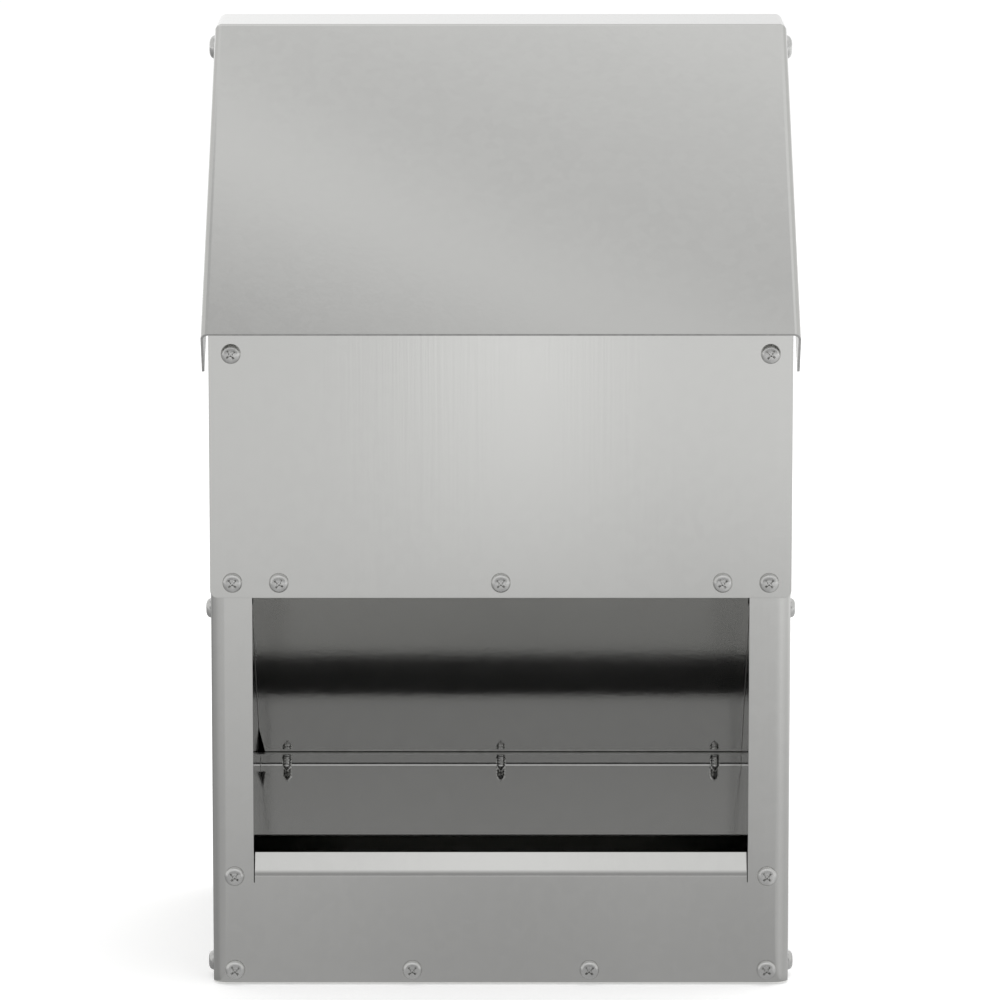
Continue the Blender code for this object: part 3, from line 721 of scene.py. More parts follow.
# %% [markdown]
# ## The window frame
#
# This is the busiest sheet: one blank with a window punched out of it. Its columns wrap 30 mm
# round the sides, and the sill leans inward as a lip, so that birds don't rake the feed out and
# don't stand on a sharp edge. The lip has a softer bend than the rest.

# %% Lower front frame
WINDOW_SILL = 0.0461
SIDE_WRAP = 0.0300
LIP_LENGTH = 0.0092
LIP_ANGLE = math.radians(55.6)
LIP_BEND = 0.0050
LIP_RELIEF_DEPTH = 0.0040


def frame_blank():
    lip_end = JAMB - FIT
    foot = WINDOW_SILL - LIP_RELIEF_DEPTH
    right_half = [
        (HALF_WIDTH, 0.0),
        (HALF_WIDTH, COLUMN_TOP),
        (JAMB, COLUMN_TOP),
        (JAMB, foot),
        (lip_end, foot),
        (lip_end, WINDOW_SILL),
    ]
    left_half = [(-x, height) for x, height in reversed(right_half)]
    outline = [at(x, LAYER, height) for x, height in right_half + left_half]
    wrap = TO_BACK * SIDE_WRAP
    lip = Vector((0.0, math.cos(LIP_ANGLE), math.sin(LIP_ANGLE))) * LIP_LENGTH
    folds = [(0, wrap, COLUMN_BEND), (10, wrap, COLUMN_BEND), (5, lip, LIP_BEND)]
    return folded_sheet(outline, folds, TO_BACK)


frame_fronts = ("panel_corner_screw", "frame_lip_screw", "frame_foot_screw", "pan_front_screw")
frame_holes = [drills(frame_fronts), drills(("frame_side_screw_left", "frame_side_screw_right"))]
make_sheet("lower_front_frame", frame_blank(), UPRIGHT_SHEET, frame_holes)

# %% [markdown]
# ## Inside the hopper
#
# The baffle carries the feed down and back, the deflector throws it forward into the trough, and
# the ramp keeps it out of the back corner. They are long strips with the same section from side
# to side, so a path is drawn once and swept across.

# %% Front baffle
BAFFLE_FLANGE = 0.0105
NOTCH_DEPTH = LAYER + COLUMN_BEND + FIT
NOTCH_DROP = 0.0102
BAFFLE_BEND = 0.0013
CHEEK_FACE = JAMB + FIT
NIP_WIDTH = 0.0042
NIP_HEIGHT = 0.0360


def baffle_blank():
    corners = [
        (LAYER, BAFFLE_HEAD + BAFFLE_FLANGE),
        (LAYER, BAFFLE_HEAD),
        (BAFFLE_FOOT_DEPTH, BAFFLE_FOOT_HEIGHT),
    ]
    path = rounded([at(0.0, depth, height) for depth, height in corners], (0.0, BAFFLE_BEND, 0.0))
    return strip_sheet(path, INNER_HALF, TO_BACK)


def tab_notches():
    """Boxes where the baffle's corners are nipped off, to clear the tabs of the sides."""
    bm = bmesh.new()
    top = BAFFLE_HEAD + BAFFLE_FLANGE + SHEET
    for side in SIDES.values():
        near = side * (JAMB - FIT)
        far = side * (INNER_HALF + SHEET)
        low = at(min(near, far), -SHEET, WINDOW_TOP - NOTCH_DROP)
        high = at(max(near, far), NOTCH_DEPTH, top)
        spot = Matrix.Translation((low + high) / 2) @ Matrix.Diagonal((*(high - low), 1.0))
        bmesh.ops.create_cube(bm, size=1.0, matrix=spot)
    return bm


def corner_nip():
    """A wedge at the lower left corner, where the baffle stands a little off the cheek."""
    foot = at(-CHEEK_FACE - SHEET, BAFFLE_FOOT_DEPTH, BAFFLE_FOOT_HEIGHT) - BAFFLE_RISE * SHEET
    wedge = (foot, foot + TO_RIGHT * NIP_WIDTH, foot + BAFFLE_RISE * NIP_HEIGHT)
    bm = bmesh.new()
    face = bm.faces.new([bm.verts.new(point - BAFFLE_UP * SHEET) for point in wedge])
    move_grown(bm, bmesh.ops.extrude_face_region(bm, geom=[face]), BAFFLE_UP * 3 * SHEET)
    bmesh.ops.recalc_face_normals(bm, faces=bm.faces)
    return bm


baffle_cutters = [tab_notches(), corner_nip(), drills(("baffle_screw", "deflector_screw"))]
make_sheet("front_baffle", baffle_blank(), INNER_SHEET_PAINTED_SHADE, baffle_cutters)

# %% Feed deflector
VALLEY_BEND = 0.0010
DEFLECTOR_FLANGE = 0.0072
DEFLECTOR_LENGTH = 0.0337
DEFLECTOR_ANGLE = math.radians(48.3)


def deflector_line(depth, above):
    """The height of the line that lies a distance square above the deflector's upper face."""
    drop = (VALLEY_DEPTH - depth) * math.tan(DEFLECTOR_ANGLE)
    return VALLEY_HEIGHT - drop + above / math.cos(DEFLECTOR_ANGLE)


def deflector_blank():
    """Its flange lies against the baffle, and the round valley between them catches the light."""
    valley = at(0.0, VALLEY_DEPTH, VALLEY_HEIGHT)
    reach = Vector((0.0, math.cos(DEFLECTOR_ANGLE), math.sin(DEFLECTOR_ANGLE)))
    corners = [valley - reach * DEFLECTOR_LENGTH, valley, valley + BAFFLE_RISE * DEFLECTOR_FLANGE]
    return strip_sheet(rounded(corners, (0.0, VALLEY_BEND, 0.0)), INNER_HALF, TO_BACK)


make_sheet("feed_deflector", deflector_blank(), INNER_SHEET_PAINTED_SHADE, [drills(("deflector_screw",))])

# %% Trough cheeks
CHEEK_FLANGE = HALF_WIDTH - COLUMN_BEND - FIT - CHEEK_FACE
CHEEK_TIP_SETBACK = 0.0030


def cheek_blank(side):
    """An upright sheet in line with the window's edge, with a flange behind the column."""
    clear = 2 * FIT
    below = LAYER + clear
    front = 3 * LAYER
    tip = VALLEY_DEPTH - CHEEK_TIP_SETBACK
    nose = VALLEY_DEPTH - DEFLECTOR_LENGTH * math.cos(DEFLECTOR_ANGLE) - clear
    corners = [
        (front, LAYER),
        (front, baffle_line(front, below)),
        (tip, baffle_line(tip, below)),
        (tip, deflector_line(tip, clear)),
        (nose, deflector_line(nose, clear)),
        (nose, LAYER),
    ]
    outline = [at(side * CHEEK_FACE, depth, height) for depth, height in corners]
    outward = TO_RIGHT * side
    return folded_sheet(outline, [(0, outward * CHEEK_FLANGE, BEND)], outward)


cheek_screws = ("frame_lip_screw", "frame_foot_screw")
for word, side in SIDES.items():
    make_sheet(f"{word}_trough_cheek", cheek_blank(side), INNER_SHEET_PAINTED_SHADE, [drills(cheek_screws)])

# %% Rear feed ramp
RAMP_TOP = 0.1000
RAMP_FLANGE = 0.0120
RAMP_ANGLE = math.radians(45.0)
RAMP_FOOT = 0.0080


def ramp_blank():
    rear = BODY_DEPTH - 2 * LAYER - SHEET
    fold = RAMP_TOP - RAMP_FLANGE
    bottom = LAYER + SHEET
    toe = rear - (fold - bottom) / math.tan(RAMP_ANGLE)
    corners = [(rear, RAMP_TOP), (rear, fold), (toe, bottom), (toe - RAMP_FOOT, bottom)]
    path = rounded([at(0.0, depth, height) for depth, height in corners], (0.0, BEND, BEND, 0.0))
    return strip_sheet(path, INNER_HALF - BEND - FIT, TO_BACK)


make_sheet("rear_feed_ramp", ramp_blank(), INNER_SHEET_PAINTED_SHADE, [drills(("ramp_screw",))])

# %% [markdown]
# ## The lid
#
# The lid is a hood: a flat strip at the back, a long slope to the front, and a flange down each
# side. The flanges are one piece with the top, so the outline runs from the top line down round
# the flange, and the four edges along the top carry the bend. The crease across the lid is
# pressed over a sharp tool and stays nearly sharp.

# %% Lid hood
CREASE_SHARE = 0.35


def lid_blank():
    front = -LID_FRONT_OVERHANG
    rear = BODY_DEPTH + LID_REAR_OVERHANG
    nose = at(0.0, front, lid_line(front, 0.0))
    crease = at(0.0, LID_FLAT_START, LID_TOP)
    tail = at(0.0, rear, LID_TOP)
    tip = nose + Vector((0.0, math.sin(LID_SLOPE), -math.cos(LID_SLOPE))) * LID_FLANGE
    inner = at(0.0, lid_bend_depth(LID_FLANGE), LID_TOP - LID_FLANGE)
    heel = at(0.0, rear, LID_TOP - LID_FLANGE)
    low = rounded([nose, tip, inner, heel, tail], (0.0, LID_CORNER, 0.0, LID_SIDE_BEND, 0.0))[1:-1]
    bm = bmesh.new()
    weight = bm.edges.layers.float.new("bevel_weight_edge")
    top_lines = []
    for side in SIDES.values():
        shift = TO_RIGHT * side * LID_HALF_WIDTH
        top_line = [bm.verts.new(point + shift) for point in (nose, crease, tail)]
        bm.faces.new(top_line + [bm.verts.new(point + shift) for point in reversed(low)])
        top_lines.append(top_line)
    left, right = top_lines
    for index in (0, 1):
        roof = bm.faces.new((left[index], right[index], right[index + 1], left[index + 1]))
        for line in top_lines:
            bm.edges.get((line[index], line[index + 1]))[weight] = 1.0
    bm.edges.get((left[1], right[1]))[weight] = CREASE_SHARE
    bmesh.ops.recalc_face_normals(bm, faces=bm.faces)
    bm.normal_update()
    if roof.normal.z < 0:
        bmesh.ops.reverse_faces(bm, faces=bm.faces)
    return bm, LID_SIDE_BEND


make_sheet("lid_hood", lid_blank(), LENGTHWISE_SHEET, [pivot_drill()], body="lid")

# %% [markdown]
# ## Screws
#
# Every head is a pan head with a cross recess, and under it is a sharp sheet-metal thread. The
# head and shank are one profile spun round an axis. The recess is cut by two crossed, tapered
# blades with a cone between them. The thread is a small triangle taken round and down by a
# spin that also climbs. One template of each size is built, and its mesh is copied to each seat.

# %% Zinc plated fastener material
def plated(title, colour, roughness):
    """Bright zinc plate: a little grain, and dull patches where a driver has rubbed."""
    material, tree, shader = new_material(title, {"Metallic": 1.0})
    grain = object_noise(tree, (900.0, 900.0, 900.0), 3.0)
    rubbed = object_noise(tree, (160.0, 160.0, 160.0), 2.0)
    fine = spread(tree, grain, 0.96, 1.04)
    shade = total(tree, fine, spread(tree, rubbed, 0.93, 1.05), "MULTIPLY")
    satin = total(tree, spread(tree, rubbed, -0.05, 0.05), roughness)
    coat(tree, shader, colour, shade, satin)
    return material


PLATE_ZINC = (0.70, 0.70, 0.69)
PLATE_ROUGHNESS = 0.26
SCREW_ZINC = plated("zinc_plated_screw", PLATE_ZINC, PLATE_ROUGHNESS)
print("fastener material:", SCREW_ZINC.name)

# %% Head, shank and tip in one spin
SCREW_SIDES = 40
RIM_SHARE = 0.985
DOME = [
    (0.0, 1.0), (0.30, 0.995), (0.52, 0.96), (0.68, 0.88), (0.80, 0.76),
    (0.89, 0.60), (0.95, 0.42), (0.985, 0.22), (1.0, 0.06),
]


def spun(profile, sides=SCREW_SIDES):
    """The closed solid that a profile of (radius, height) makes round +Z."""
    bm = bmesh.new()
    points = [bm.verts.new((radius, 0.0, height)) for radius, height in profile]
    edges = [bm.edges.new(pair) for pair in zip(points, points[1:])]
    if profile[0][0] > 0:
        edges.append(bm.edges.new((points[-1], points[0])))
    bmesh.ops.spin(
        bm,
        geom=points + edges,
        cent=(0.0, 0.0, 0.0),
        axis=UP,
        angle=2 * math.pi,
        steps=sides,
        use_merge=True,
    )
    bmesh.ops.remove_doubles(bm, verts=bm.verts, dist=1e-6)
    bmesh.ops.recalc_face_normals(bm, faces=bm.faces)
    return bm


def pan_head_profile(radius, height, shank, length, tip):
    """A pan head: flat on top, round at the shoulder, steep at the rim."""
    head = [(radius * across, height * rise) for across, rise in DOME]
    return head + [(radius * RIM_SHARE, 0.0), (shank, 0.0), (shank, tip - length), (0.0, -length)]


print("screws have", SCREW_SIDES, "sides")

# %% The cross recess
BLADE_TAPER = 0.55
CONE_FOOT = 0.25
CONE_TOP = 1.15


def cross_cutter(reach, width, depth, top):
    """Two crossed blades that narrow downward, and a cone in their middle."""
    cutters = []
    lift = depth + FIT
    for turn in (0.0, math.pi / 2):
        bm = bmesh.new()
        bmesh.ops.create_cube(bm, size=1.0)
        bmesh.ops.scale(bm, vec=(2 * reach, width, lift), verts=bm.verts)
        lower = [vert for vert in bm.verts if vert.co.z < 0]
        bmesh.ops.scale(bm, vec=(BLADE_TAPER, BLADE_TAPER, 1.0), verts=lower)
        bmesh.ops.rotate(bm, verts=bm.verts, matrix=Matrix.Rotation(turn + math.pi / 4, 3, "Z"))
        bmesh.ops.translate(bm, verts=bm.verts, vec=UP * (top - depth + lift / 2))
        cutters.append(bm)
    bm = bmesh.new()
    add_cone(bm, width * CONE_FOOT, width * CONE_TOP, lift, HOLE_SIDES)
    bmesh.ops.translate(bm, verts=bm.verts, vec=UP * (top - depth + lift / 2))
    cutters.append(bm)
    return cutters


print("blade taper:", BLADE_TAPER)

# %% The thread
THREAD_PITCH = 0.0014
THREAD_DEPTH = 0.00030
THREAD_ROOT_SHARE = 0.92
THREAD_HALF_SHARE = 0.28
STEPS_PER_TURN = 16


def thread(shank, start, end):
    """A ridge that winds down the shank from one height to another, closed at both ends."""
    bm = bmesh.new()
    inside = shank * THREAD_ROOT_SHARE
    crest = shank + THREAD_DEPTH
    half = THREAD_PITCH * THREAD_HALF_SHARE
    section = [(inside, half), (crest, 0.0), (inside, -half)]
    points = [bm.verts.new((radius, 0.0, start + height)) for radius, height in section]
    triangle = bm.faces.new(points)
    turns = (start - end) / THREAD_PITCH
    steps = max(8, round(turns * STEPS_PER_TURN))
    bmesh.ops.spin(
        bm,
        geom=[triangle] + list(triangle.edges) + points,
        cent=(0.0, 0.0, 0.0),
        axis=UP,
        dvec=(0.0, 0.0, (end - start) / steps),
        angle=2 * math.pi * turns,
        steps=steps,
        use_duplicate=False,
    )
    bmesh.ops.recalc_face_normals(bm, faces=bm.faces)
    return bm


print("thread pitch:", THREAD_PITCH)

# %% Screw templates
def screw_template(title, radius, height, shank, length, tip, recess):
    """A finished screw along +Z with its seat at the origin."""
    obj = to_object(title, spun(pan_head_profile(radius, height, shank, length, tip)))
    combine(obj, [thread(shank, -SHEET, tip - length)], "UNION")
    combine(obj, cross_cutter(*recess, height))
    obj.data.materials.clear()
    obj.data.materials.append(SCREW_ZINC)
    obj.data.shade_smooth()
    obj.data.set_sharp_from_angle(angle=math.radians(32))
    bpy.context.scene.collection.objects.unlink(obj)
    print(title, "has", len(obj.data.polygons), "faces")
    return obj.data


SHANK_LENGTH = 0.0095
TIP_LENGTH = 0.0030
VALLEY_SCREW_REACH = 0.0065 + 2 * LAYER
VALLEY_SCREW_TIP = 0.0022
CROSS = (0.0024, 0.0009, 0.0014)
HEAD = (HEAD_RADIUS, HEAD_HEIGHT, SHANK_RADIUS)
SHEET_SCREW = screw_template("sheet_screw", *HEAD, SHANK_LENGTH, TIP_LENGTH, CROSS)
SHORT_SCREW = screw_template("short_screw", *HEAD, VALLEY_SCREW_REACH, VALLEY_SCREW_TIP, CROSS)

# %% [markdown]
# A row of screws with every cross at the same angle looks stamped. On the real feeder the crosses
# differ by a little, so each screw takes the next turn from a short fixed list.

# %% Putting the screws in
SCREW_TURNS = [math.radians(angle) for angle in (38, 52, 45, 41, 55, 47, 35, 50, 43)]


def place_screw(node, template, seat, outward, turn):
    mesh = template.copy()
    mesh.transform(turned_to(outward, seat) @ Matrix.Rotation(turn, 4, "Z"))
    obj = bpy.data.objects.new(f"{node}_threaded", mesh)
    bpy.context.scene.collection.objects.link(obj)
    mount(obj, node, "feeder_body")


for index, (node, (seat, outward)) in enumerate(SCREW_SEATS.items()):
    template = SHORT_SCREW if node.startswith("deflector") else SHEET_SCREW
    turn = SCREW_TURNS[index % len(SCREW_TURNS)] - math.pi / 4
    place_screw(node, template, seat, outward, turn)
print("screws placed:", len(SCREW_SEATS))

# %% [markdown]
# ## The lid's pivots
#
# On each side a larger screw carries the lid. From outside in come the screw's head, the lid's
# flange, a nylon spacer, the side panel, a washer and a nut.

# %% Nylon
MILKY = (0.82, 0.81, 0.77)
SCATTER = {"Subsurface Weight": 0.2, "Subsurface Radius": (0.002, 0.0018, 0.0015)}


def nylon():
    """Milky nylon: light scatters inside it, so it gets a little subsurface."""
    material, tree, shader = new_material("natural_nylon", SCATTER)
    cloud = object_noise(tree, (300.0, 300.0, 300.0), 2.0)
    shade = spread(tree, cloud, 0.95, 1.03)
    coat(tree, shader, MILKY, shade, spread(tree, cloud, 0.40, 0.52))
    return material


NYLON = nylon()
print("spacer material:", NYLON.name)

# %% Pivot screws
PIVOT_HEAD_RADIUS = 0.0053
PIVOT_HEAD_HEIGHT = 0.0035
PIVOT_CROSS = (0.0030, 0.0011, 0.0022)
PIVOT_TURN = 0.2
PIVOT_HEAD = (PIVOT_HEAD_RADIUS, PIVOT_HEAD_HEIGHT, PIVOT_SHANK_RADIUS - THREAD_DEPTH)

middle, size = measured("lid_pivot_screw_left")
pivot_reach = size.x - PIVOT_HEAD_HEIGHT
PIVOT_SCREW = screw_template("pivot_screw", *PIVOT_HEAD, pivot_reach, THREAD_DEPTH, PIVOT_CROSS)
for word, side in SIDES.items():
    node = f"lid_pivot_screw_{word}"
    outward = TO_RIGHT * side
    seat = seat_of(node, outward, PIVOT_HEAD_HEIGHT)
    place_screw(node, PIVOT_SCREW, seat, outward, PIVOT_TURN)

# %% Rings: spacers and washers
RING_SIDES = 48
RING_RADIUS = 0.0050
SPACER_EDGE = 0.0003
WASHER_EDGE = 0.00015


def ring_piece(node, outward, round_edge, material):
    middle, size = measured(node)
    length = size.x
    outer = [(RING_RADIUS, 0.0), (RING_RADIUS, length)]
    bm = spun(outer + [(PIVOT_BORE, length), (PIVOT_BORE, 0.0)], RING_SIDES)
    place = turned_to(outward, middle - outward * length / 2)
    bmesh.ops.transform(bm, matrix=place, verts=bm.verts)
    obj = to_object(f"{node}_turned", bm)
    obj.data.materials.append(material)
    soften(obj, round_edge, 3)
    even_normals(obj)
    mount(obj, node, "feeder_body")


for word, side in SIDES.items():
    outward = TO_RIGHT * side
    ring_piece(f"lid_pivot_spacer_{word}", outward, SPACER_EDGE, NYLON)
    ring_piece(f"lid_pivot_washer_{word}", outward, WASHER_EDGE, SCREW_ZINC)
print("rings placed: 4")

# %% Nuts
NUT_FLAT_WIDTH = 0.0080
NUT_HEIGHT = 0.0047
NUT_HALF = NUT_HEIGHT / 2
NUT_CORNER = NUT_FLAT_WIDTH / 2 / math.cos(math.pi / 6)
NUT_FACE = NUT_FLAT_WIDTH / 2 * 0.95
NUT_BARREL = NUT_CORNER * 1.02
NUT_SHOULDER = NUT_HALF * 0.72
SINK_RADIUS = PIVOT_BORE * 1.18
SINK_FLOOR = NUT_HALF * 0.8


def both_ends(upper):
    """The solid spun from a profile whose lower half mirrors its upper half."""
    return spun(upper + [(radius, -height) for radius, height in reversed(upper)], RING_SIDES)


def nut_piece(node, outward):
    """A hexagon whose corners are turned off to a cone at both ends, with a countersunk bore."""
    middle, size = measured(node)
    bm = bmesh.new()
    add_cone(bm, NUT_CORNER, NUT_CORNER, NUT_HEIGHT, 6)
    obj = to_object(f"{node}_hexagon", bm)
    barrel = [(0.0, NUT_HALF), (NUT_FACE, NUT_HALF), (NUT_BARREL, NUT_SHOULDER)]
    combine(obj, [both_ends(barrel)], "INTERSECT")
    edge = NUT_HALF + FIT
    sink = [(0.0, edge), (SINK_RADIUS, edge), (SINK_RADIUS, NUT_HALF), (PIVOT_BORE, SINK_FLOOR)]
    combine(obj, [both_ends(sink)])
    obj.data.transform(turned_to(outward, middle))
    obj.data.materials.clear()
    obj.data.materials.append(SCREW_ZINC)
    even_normals(obj)
    obj.data.set_sharp_from_angle(angle=math.radians(28))
    mount(obj, node, "feeder_body")


for word, side in SIDES.items():
    nut_piece(f"lid_pivot_nut_{word}", TO_RIGHT * side)
print("nuts placed: 2")

# %% [markdown]
# ## The studio
#
# Polished sheet shows whatever is in the room, so the room is what gives it form. A photographer
# stands cards round a metal object: grey ones where it should go quiet, pale ones where it should
# shine. The dome and the floor are plain and pale. The cards are hidden from the camera and cast
# no shadow, so the background stays white, and only the metal can see them.

# %% World
WORLD_LEVEL = 0.72

world = bpy.data.worlds.new("studio_dome")
world.use_nodes = True
background = world.node_tree.nodes["Background"]
background.inputs["Color"].default_value = (1.0, 1.0, 0.995, 1.0)
background.inputs["Strength"].default_value = WORLD_LEVEL
bpy.context.scene.world = world
print("dome level:", WORLD_LEVEL)

# %% [markdown]
# The floor is a pale matt plane. It gets a small lift of white for camera, glossy and transmission
# rays, so that it reads as a white sweep and still takes the feeder's shadow.

# %% Floor
FLOOR_HALF = 25.0
FLOOR_DROP = 0.0004
FLOOR_COLOUR = (0.80, 0.80, 0.80, 1.0)
FLOOR_LIFT = 0.42


def bare_material(obj, title):
    """Gives an object a material without a shader, and returns its node tree."""
    material, tree, shader = new_material(title, {})
    tree.nodes.remove(shader)
    obj.data.materials.append(material)
    return tree


def studio_floor():
    bm = bmesh.new()
    bmesh.ops.create_grid(bm, x_segments=1, y_segments=1, size=FLOOR_HALF)
    bmesh.ops.translate(bm, verts=bm.verts, vec=-UP * FLOOR_DROP)
    floor = to_object("studio_floor", bm)
    tree = bare_material(floor, "pale_sweep")
    matt = add_node(tree, "ShaderNodeBsdfDiffuse", {"Color": FLOOR_COLOUR})
    lift = add_node(tree, "ShaderNodeEmission")
    path = add_node(tree, "ShaderNodeLightPath")
    seen = total(tree, path.outputs["Is Camera Ray"], path.outputs["Is Glossy Ray"], "MAXIMUM")
    seen = total(tree, seen, path.outputs["Is Transmission Ray"], "MAXIMUM")
    feed(tree, total(tree, seen, FLOOR_LIFT, "MULTIPLY"), lift.inputs["Strength"])
    both = add_node(tree, "ShaderNodeAddShader")
    feed(tree, matt.outputs["BSDF"], both.inputs[0])
    feed(tree, lift.outputs["Emission"], both.inputs[1])
    feed(tree, both.outputs["Shader"], tree.nodes["Material Output"].inputs["Surface"])


studio_floor()
print("floor half side:", FLOOR_HALF)

# %% Cards that only the metal sees
def card(name, place, tilt, width, height):
    """A card: its node tree, its level, which is still to be set, and its own X and Y."""
    bm = bmesh.new()
    bmesh.ops.create_grid(bm, x_segments=1, y_segments=1, size=0.5)
    bmesh.ops.scale(bm, vec=(width, height, 1.0), verts=bm.verts)
    obj = to_object(name, bm)
    obj.location = place
    obj.rotation_euler = (tilt, 0.0, 0.0)
    for ray in ("camera", "diffuse", "shadow", "volume_scatter"):
        setattr(obj, f"visible_{ray}", False)
    tree = bare_material(obj, name)
    glow = add_node(tree, "ShaderNodeEmission")
    feed(tree, glow.outputs["Emission"], tree.nodes["Material Output"].inputs["Surface"])
    place = add_node(tree, "ShaderNodeTexCoord")
    split = add_node(tree, "ShaderNodeSeparateXYZ")
    feed(tree, place.outputs["Object"], split.inputs["Vector"])
    return tree, glow.inputs["Strength"], split.outputs["X"], split.outputs["Y"]


def graded(tree, value, start, end, levels, smooth="EASE"):
    """A level for each share of the way from start to end."""
    ramp = add_node(tree, "ShaderNodeValToRGB")
    ramp.color_ramp.interpolation = smooth
    stops = ramp.color_ramp.elements
    while len(stops) < len(levels):
        stops.new(0.5)
    for stop, (share, level) in zip(stops, levels):
        stop.position = share
        stop.color = (level, level, level, 1.0)
    feed(tree, fade(tree, value, start, end, 0.0, 1.0), ramp.inputs["Fac"])
    return ramp.outputs["Color"]


print("card kit ready")

# %% [markdown]
# ### The card on the floor
#
# Upright sheet mirrors the floor round it: its foot sees the floor close by, and its top sees the
# floor almost two metres out. The card is dim near the feeder and pale far away, so each side
# goes from mid grey at the foot to light grey under the lid. Both the distance and the bearing
# are measured from the nearest point of the body's outline. A darker bearing on the left and a
# paler one on the right draw the corner bends as quiet bands, and a brighter strip down the
# middle gives the soft highlight on the upper panel. Toward the right the card is a little darker
# close by and a little paler far out, and beside the body it is paler round the foot.

# %% Floor card
FLOOR_CARD_HALF = 3.4
FLOOR_CARD_HEIGHT = 0.0006
FLOOR_REACH = 2.6
NEAR_TO_FAR = [
    (0.04, 0.46), (0.16, 0.49), (0.28, 0.54), (0.61, 0.625),
    (0.83, 0.69), (0.90, 0.71), (1.30, 0.78), (1.85, 0.81),
]
BEARINGS = [
    (-180.0, 0.80), (-120.0, 0.50), (-53.0, 0.82), (-12.0, 0.89), (-3.0, 1.0), (0.0, 1.0),
    (3.0, 1.06), (16.0, 1.12), (40.0, 1.26), (65.0, 1.20), (88.0, 1.12), (120.0, 1.40),
    (180.0, 1.15),
]
STRIP_NEAR = -0.08
STRIP_FAR = 0.36
STRIP_SPAN = (0.6, 1.8)
STRIP_HALF = 0.11
STRIP_SHIFT = 0.01
RIGHT_NEAR = -0.06
RIGHT_FAR = 0.05
RIGHT_SPAN = (0.85, 1.35)
RIGHT_EDGE = (0.06, 0.10)
FOOT_LIFT = 0.13
FOOT_REACH = 0.30
SIDE_EDGE = 0.01


def beyond(tree, value, half):
    """How far a place is outside the range from -half to half, with its sign."""
    inside = total(tree, total(tree, value, -half, "MAXIMUM"), half, "MINIMUM")
    return total(tree, value, inside, "SUBTRACT")


def shares(levels, start, end):
    """Turns (place, level) pairs into (share of the way from start to end, level) pairs."""
    return [((place - start) / (end - start), level) for place, level in levels]


def floor_card():
    centre = (0.0, FRONT + BODY_DEPTH / 2, FLOOR_CARD_HEIGHT)
    wide = 2 * FLOOR_CARD_HALF
    tree, level, across, along = card("floor_card", centre, 0.0, wide, wide)
    aside = beyond(tree, across, HALF_WIDTH)
    ahead = beyond(tree, total(tree, along, -1.0, "MULTIPLY"), BODY_DEPTH / 2)
    squares = [total(tree, value, value, "MULTIPLY") for value in (aside, ahead)]
    out = total(tree, total(tree, *squares), 0.5, "POWER")
    base = graded(tree, out, 0.0, FLOOR_REACH, shares(NEAR_TO_FAR, 0.0, FLOOR_REACH), "LINEAR")
    angle = total(tree, aside, ahead, "ARCTAN2")
    bearings = shares(BEARINGS, -180.0, 180.0)
    side = graded(tree, angle, -math.pi, math.pi, bearings, "LINEAR")
    middle_line = total(tree, across, STRIP_SHIFT, "SUBTRACT")
    peak = [(0.0, 0.0), (0.5, 1.0), (1.0, 0.0)]
    strip = graded(tree, middle_line, -STRIP_HALF, STRIP_HALF, peak)
    gain = fade(tree, ahead, *STRIP_SPAN, STRIP_NEAR, STRIP_FAR)
    highlight = total(tree, total(tree, strip, gain, "MULTIPLY"), 1.0)
    lean = fade(tree, across, *RIGHT_EDGE, 0.0, 1.0)
    slant = fade(tree, ahead, *RIGHT_SPAN, RIGHT_NEAR, RIGHT_FAR)
    highlight = total(tree, highlight, total(tree, lean, slant, "MULTIPLY"))
    beside = fade(tree, total(tree, aside, 0.0, "ABSOLUTE"), 0.0, SIDE_EDGE, 0.0, 1.0)
    foot = fade(tree, out, 0.0, FOOT_REACH, FOOT_LIFT, 0.0)
    highlight = total(tree, highlight, total(tree, beside, foot, "MULTIPLY"))
    feed(tree, total(tree, total(tree, base, side, "MULTIPLY"), highlight, "MULTIPLY"), level)


floor_card()
print("floor card reaches", FLOOR_CARD_HALF)

# %% [markdown]
# ### The cards behind the camera, overhead and at the back
#
# The hollow behind the window mirrors what is behind the camera, by way of two sheets, so a grey
# card there sets how dark it looks. It gets paler upward, which makes the lip's bend go smoothly
# from pale to grey. The leaning lip itself mirrors a pale card high in front. The slope of the
# lid looks straight up, at a card whose tone drifts in soft diagonal waves, and the flat strip
# looks at a bright card low at the back.

# %% The other cards
CAMERA_CARD_LEVELS = [
    (0.0, 0.35), (0.12, 0.35), (0.25, 0.365), (0.50, 0.37), (0.62, 0.46), (0.82, 0.59), (1.0, 0.70),
]
KEY_LEVELS = [(0.0, 0.84), (0.45, 0.84), (0.5, 1.0), (0.545, 0.84), (1.0, 0.86)]
OVERHEAD_WAVES = [
    (0.0, 0.90), (0.22, 0.775), (0.45, 0.68), (0.69, 0.785), (0.84, 0.655), (1.0, 0.52),
]
WAVE_SLANT = -0.457
WAVE_HALF = 0.145
OVERHEAD_DRIFT = [(0.0, 1.08), (1.0, 0.95)]
DRIFT_HALF = 0.15
BACK_LEVELS = [(0.0, 1.03), (1.0, 0.90)]

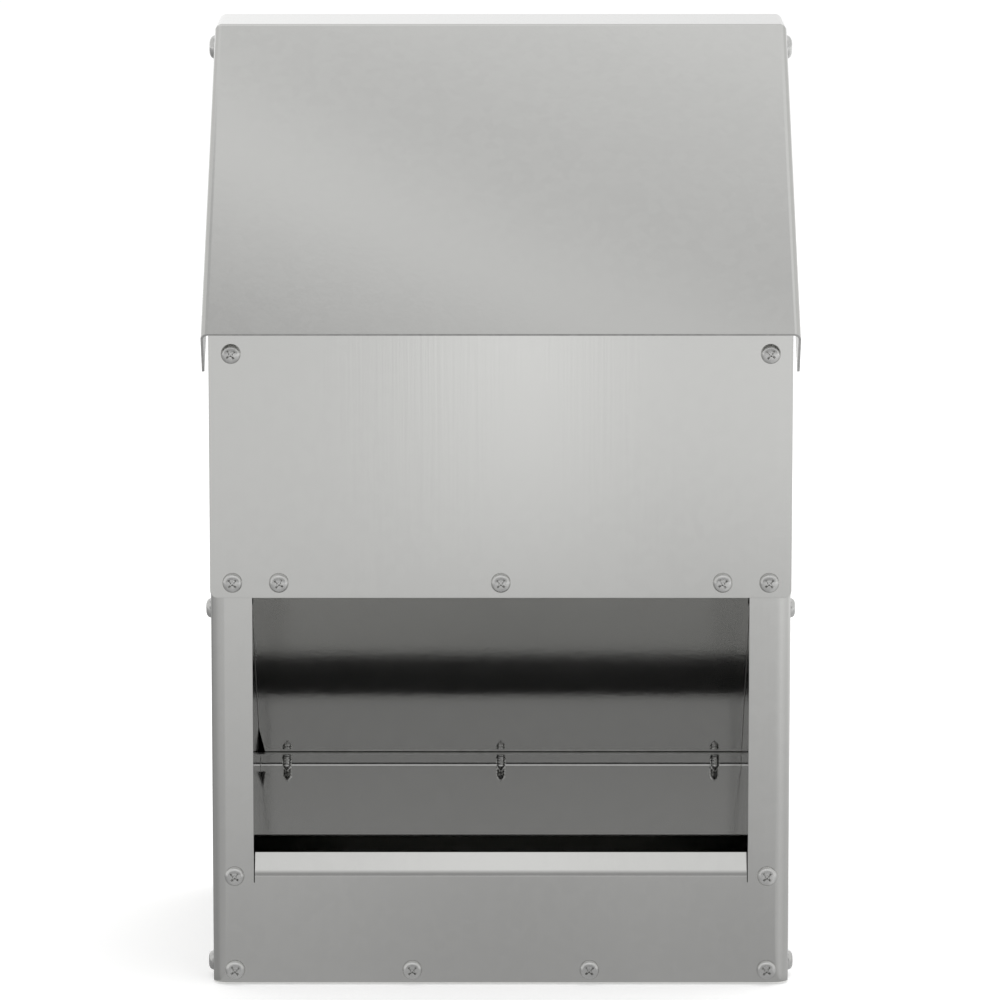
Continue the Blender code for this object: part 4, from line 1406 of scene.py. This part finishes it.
CAMERA_SIDE_CARD = ((0.0, -3.4, 1.2), math.pi / 2, 6.0, 2.4)
tree, level, across, along = card("camera_side_card", *CAMERA_SIDE_CARD)
feed(tree, graded(tree, along, -1.2, 1.2, CAMERA_CARD_LEVELS, "LINEAR"), level)

KEY_CARD = ((0.0, -1.6, 2.75), math.radians(60), 3.0, 1.8)
tree, level, across, along = card("key_card", *KEY_CARD)
feed(tree, graded(tree, across, -1.5, 1.5, KEY_LEVELS), level)

OVERHEAD_CARD = ((0.0, 0.135, 1.1), 0.0, 1.4, 1.2)
tree, level, across, along = card("overhead_card", *OVERHEAD_CARD)
diagonal = total(tree, total(tree, across, WAVE_SLANT, "MULTIPLY"), along, "SUBTRACT")
waves = graded(tree, diagonal, -WAVE_HALF, WAVE_HALF, OVERHEAD_WAVES)
drift = graded(tree, across, -DRIFT_HALF, DRIFT_HALF, OVERHEAD_DRIFT, "LINEAR")
feed(tree, total(tree, waves, drift, "MULTIPLY"), level)

BACK_CARD = ((0.0, 4.0, 1.2), math.pi / 2, 6.0, 2.0)
tree, level, across, along = card("back_card", *BACK_CARD)
feed(tree, graded(tree, across, -0.3, 0.3, BACK_LEVELS, "LINEAR"), level)
print("cards placed: 5")

# %% Softboxes
def softbox(name, place, target, width, height, watts):
    light = bpy.data.lights.new(name, "AREA")
    light.shape = "RECTANGLE"
    light.size = width
    light.size_y = height
    light.energy = watts
    obj = bpy.data.objects.new(name, light)
    obj.location = place
    obj.rotation_euler = (Vector(target) - Vector(place)).to_track_quat("-Z", "Y").to_euler()
    obj.visible_camera = False
    obj.visible_glossy = False
    bpy.context.scene.collection.objects.link(obj)


softbox("top_softbox", (0.5, 0.4, 3.2), (0.0, 0.0, 0.1), 2.2, 2.2, 40.0)
print("softboxes: 1")

# %% [markdown]
# ## Colour
#
# The Standard view shows each colour as it is written.

# %% View
bpy.context.scene.view_settings.view_transform = "Standard"
